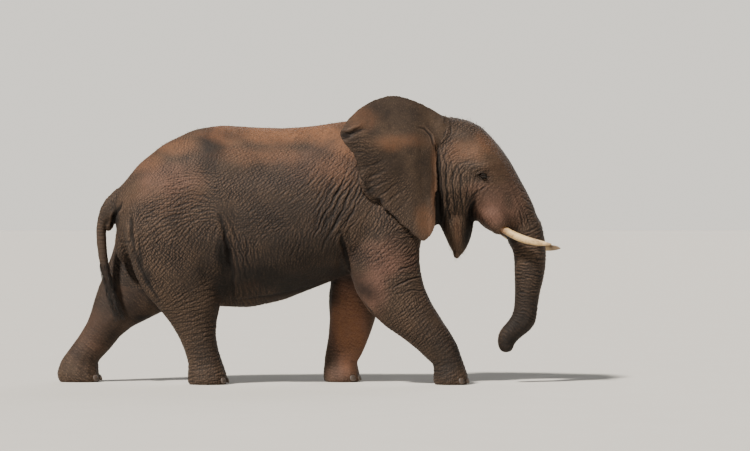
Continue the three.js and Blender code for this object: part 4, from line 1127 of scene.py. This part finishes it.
def hairs(name, roots, ways, lengths, wide, fall, unwrap):
    """Solid tapered hairs joined in one piece: three sides each, bent towards fall, a bake patch each."""
    count, rings = len(roots), 6
    ways = unit(ways)
    beside = unit(np.cross(ways, (0.31, 0.87, 0.38)))
    third = np.cross(ways, beside)
    t = np.linspace(0, 1, rings)
    points, patch = [], []
    for k in range(rings):
        centre = roots + lengths[:, None] * (ways * t[k] + np.array(fall) * t[k] ** 2)
        for corner in range(3):
            ray_turn = 2 * math.pi * corner / 3
            ray = math.cos(ray_turn) * beside + math.sin(ray_turn) * third
            points.append(centre + ray * wide / 2 * (1 - 0.85 * t[k] ** 1.5))
            patch.append(unwrap + 0.003 * np.array((corner / 2 - 0.5, t[k] - 0.5)))
    points = np.stack(points, 1).reshape(-1, 3)
    patch = np.stack(patch, 1).reshape(-1, 2)
    one = [(0, 1, 2), (3 * rings - 1, 3 * rings - 2, 3 * rings - 3)]
    for k in range(rings - 1):
        for corner in range(3):
            a, b = 3 * k + corner, 3 * k + (corner + 1) % 3
            one += [(a, a + 3, b + 3), (a, b + 3, b)]
    faces = (np.array(one)[None] + (np.arange(count) * 3 * rings)[:, None, None]).reshape(-1, 3)
    made = piece(name, points, faces)
    bake = made.data.uv_layers.new(name="OFBake")
    bake.data.foreach_set("uv", np.clip(patch, 0, 1)[faces.ravel()].astype(np.float32).ravel())
    made.data.materials.append(bristle)
    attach(made, "root")


def spread(value):
    """Values spread evenly from 0.01 to 0.99, as the place on an unwrap."""
    return 0.01 + 0.98 * (value - value.min()) / max(np.ptp(value), 1e-9)


def rolled_out(points, centre_z):
    """Where points lie when the body's skin is rolled off round its length."""
    turn = np.arctan2(points[:, 1], points[:, 2] - centre_z)
    return np.stack([spread(points[:, 0]), 0.5 + turn / (2 * math.pi) * 0.98], 1)


def some_of(choice, count):
    """So many skin points drawn from a choice, the same on every run."""
    return rng.choice(np.flatnonzero(choice), count, replace=False)


def lengths_between(low, high, count):
    return rng.uniform(low, high, count)


top = normal[:, 2]
# name, where it grows, how many, shortest and longest, lean added to the normal, width, and fall
GROWTH = (
    ("hair_crown", belongs("head", "neck") & (z > 2.42) & (top > .25), 620,
     .022, .055, (-.5, 0, .1), .0016, (0, 0, -.05)),
    ("hair_back", belongs("torso") & (top > .75), 520,
     .015, .040, (-.9, 0, 0), .0014, (0, 0, 0)),
    ("hair_chin", belongs("jaw") & (z < 1.44), 90,
     .018, .045, (.2, 0, -.9), .0014, (0, 0, -.25)),
    ("hair_trunk", belongs("trunk_upper", "trunk_middle") & (np.abs(y) < .16), 420,
     .012, .030, (0, 0, -.7), .0014, (0, 0, -.05)),
    ("hair_belly", belongs("torso") & (top < -.8), 260,
     .015, .040, (-.8, 0, 0), .0014, (0, 0, -.1)),
)
for name, where, count, short, longest, lean, wide, fall in GROWTH:
    at = some_of(where, count)
    ways = normal[at] + np.array(lean) + 0.25 * rng.standard_normal((count, 3))
    hairs(name, skin[at] - 2 * MM * normal[at], ways, lengths_between(short, longest, count), wide, fall,
          rolled_out(skin[at], 1.7))

# the tail's tuft: stiff bristles, thickest in a front row and a back row, the longest near the tip
tail_at = some_of(belongs("tail") & (z < 1.25), 620)
tail_axis, tail_way = along(skin[tail_at], TAIL_LINE)
in_rows = 0.45 + 0.55 * np.abs(normal[tail_at, 0])
reach = (0.07 + 0.16 * soft_step(1.25, 0.75, z[tail_at])) * lengths_between(.7, 1.2, len(tail_at)) * in_rows
reach = np.minimum(reach, (z[tail_at] - 0.655) / 0.9)
tail_ways = -tail_axis + 0.17 * normal[tail_at] * (1, .6, 1) + 0.07 * rng.standard_normal((len(tail_at), 3))
tail_turn = np.arctan2(normal[tail_at, 1], normal[tail_at, 0]) / (2 * math.pi) + 0.5
hairs("tail_bristles", skin[tail_at] - 2 * MM * normal[tail_at], tail_ways, reach, .0034, (.05, 0, -.06),
      np.stack([spread(tail_way), spread(tail_turn)], 1))

# the lashes droop from the upper lid
LASHES = 34
for side_name, side in SIDES.items():
    over = np.linspace(-0.85, 0.80, LASHES) * OPENING[0]
    high = OPENING[1] * (1 - (over / OPENING[0]) ** 2) - 0.5 * MM
    dx = over * math.cos(EYE_TILT) - high * math.sin(EYE_TILT)
    dz = over * math.sin(EYE_TILT) + high * math.cos(EYE_TILT)
    out = EYE[1] + np.sqrt(np.maximum((EYE_RADIUS + 3.5 * MM) ** 2 - dx ** 2 - dz ** 2, 0))
    roots = np.stack([EYE[0] + dx, side * out, EYE[2] + dz], 1)
    ways = np.stack([over * 12, np.full(LASHES, side * 1.0), np.full(LASHES, -.35)], 1)
    ways += 0.12 * rng.standard_normal((LASHES, 3))
    hairs(f"lashes_{side_name}", roots, ways, lengths_between(.028, .046, LASHES), .0013, (0, 0, -.3),
          np.stack([spread(over), spread(high)], 1))


def eyeball(side_name, side):
    """A ball with the cornea standing out over the iris."""
    points, faces = ball((EYE[0], side * EYE[1], EYE[2]), (EYE_RADIUS,) * 3, 0.0, 30)
    across = np.hypot(points[:, 0] - EYE[0], points[:, 2] - EYE[2])
    in_front = (points[:, 1] - side * EYE[1]) * side > 0
    points[:, 1] += side * in_front * 2.4 * MM * np.exp(-(across / (11 * MM)) ** 4)
    made = piece(f"eyeball_{side_name}", points, faces)
    made.data.materials.append(wet_eye)
    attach(made, "root")
    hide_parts(f"eye_{side_name}")


for side_name, side in SIDES.items():
    eyeball(side_name, side)

# ---------------------------------------------------------------- studio

data = bpy.data.cameras.new("camera")
data.lens = 150
data.sensor_width = 36
camera = bpy.data.objects.new("camera", data)
camera.location = (0.692, -32.34, 1.63)
camera.rotation_euler = (math.radians(90), 0, 0)
bpy.context.scene.collection.objects.link(camera)
bpy.context.scene.camera = camera

FLOOR_REACH = 3000
corners = [(i * FLOOR_REACH, k * FLOOR_REACH, 0) for i, k in ((-1, -1), (1, -1), (1, 1), (-1, 1))]
floor = piece("floor", corners, [(0, 1, 2, 3)])
floor.data.materials.append(painted_floor())


def sun(name, energy, degrees, colour, place):
    """A sun so many degrees wide that shines from a place towards the middle of the frame."""
    light = bpy.data.lights.new(name, "SUN")
    light.energy = energy
    light.angle = math.radians(degrees)
    light.color = colour
    made = bpy.data.objects.new(name, light)
    made.rotation_euler = Vector(place).to_track_quat("Z", "Y").to_euler()
    bpy.context.scene.collection.objects.link(made)


# a warm key, and a weak fill so that the far side is not lost in shade
sun("key", 8.0, 6, (1.0, 0.965, 0.91), (-6.5, -8.0, 12.0))
sun("fill", 1.1, 40, (1.0, 1.0, 1.0), (4.0, 9.0, 6.0))

# a dim soft ceiling, and a lit wall low down all round, as bright as the floor
world = bpy.data.worlds.new("studio")
world.use_nodes = True
studio = world.node_tree
studio.nodes.clear()
look = add(studio, "TexCoord", "Generated")
rise = add(studio, "SeparateXYZ", "Z", Vector=look)
wall = add(studio, "MapRange", "Result", SMOOTH, Value=rise, From_Min=0.16, From_Max=0.075)
shade = add(studio, "Mix", "Result", COLOURS, Factor=wall, A="#cdd1d6", B="#dad5cb")
strength = add(studio, "Mix", "Result", NUMBERS, Factor=wall, A=0.24, B=1.67)
glow = add(studio, "Background", "Background", Color=shade, Strength=strength)
add(studio, "OutputWorld", None, Surface=glow)
bpy.context.scene.world = world
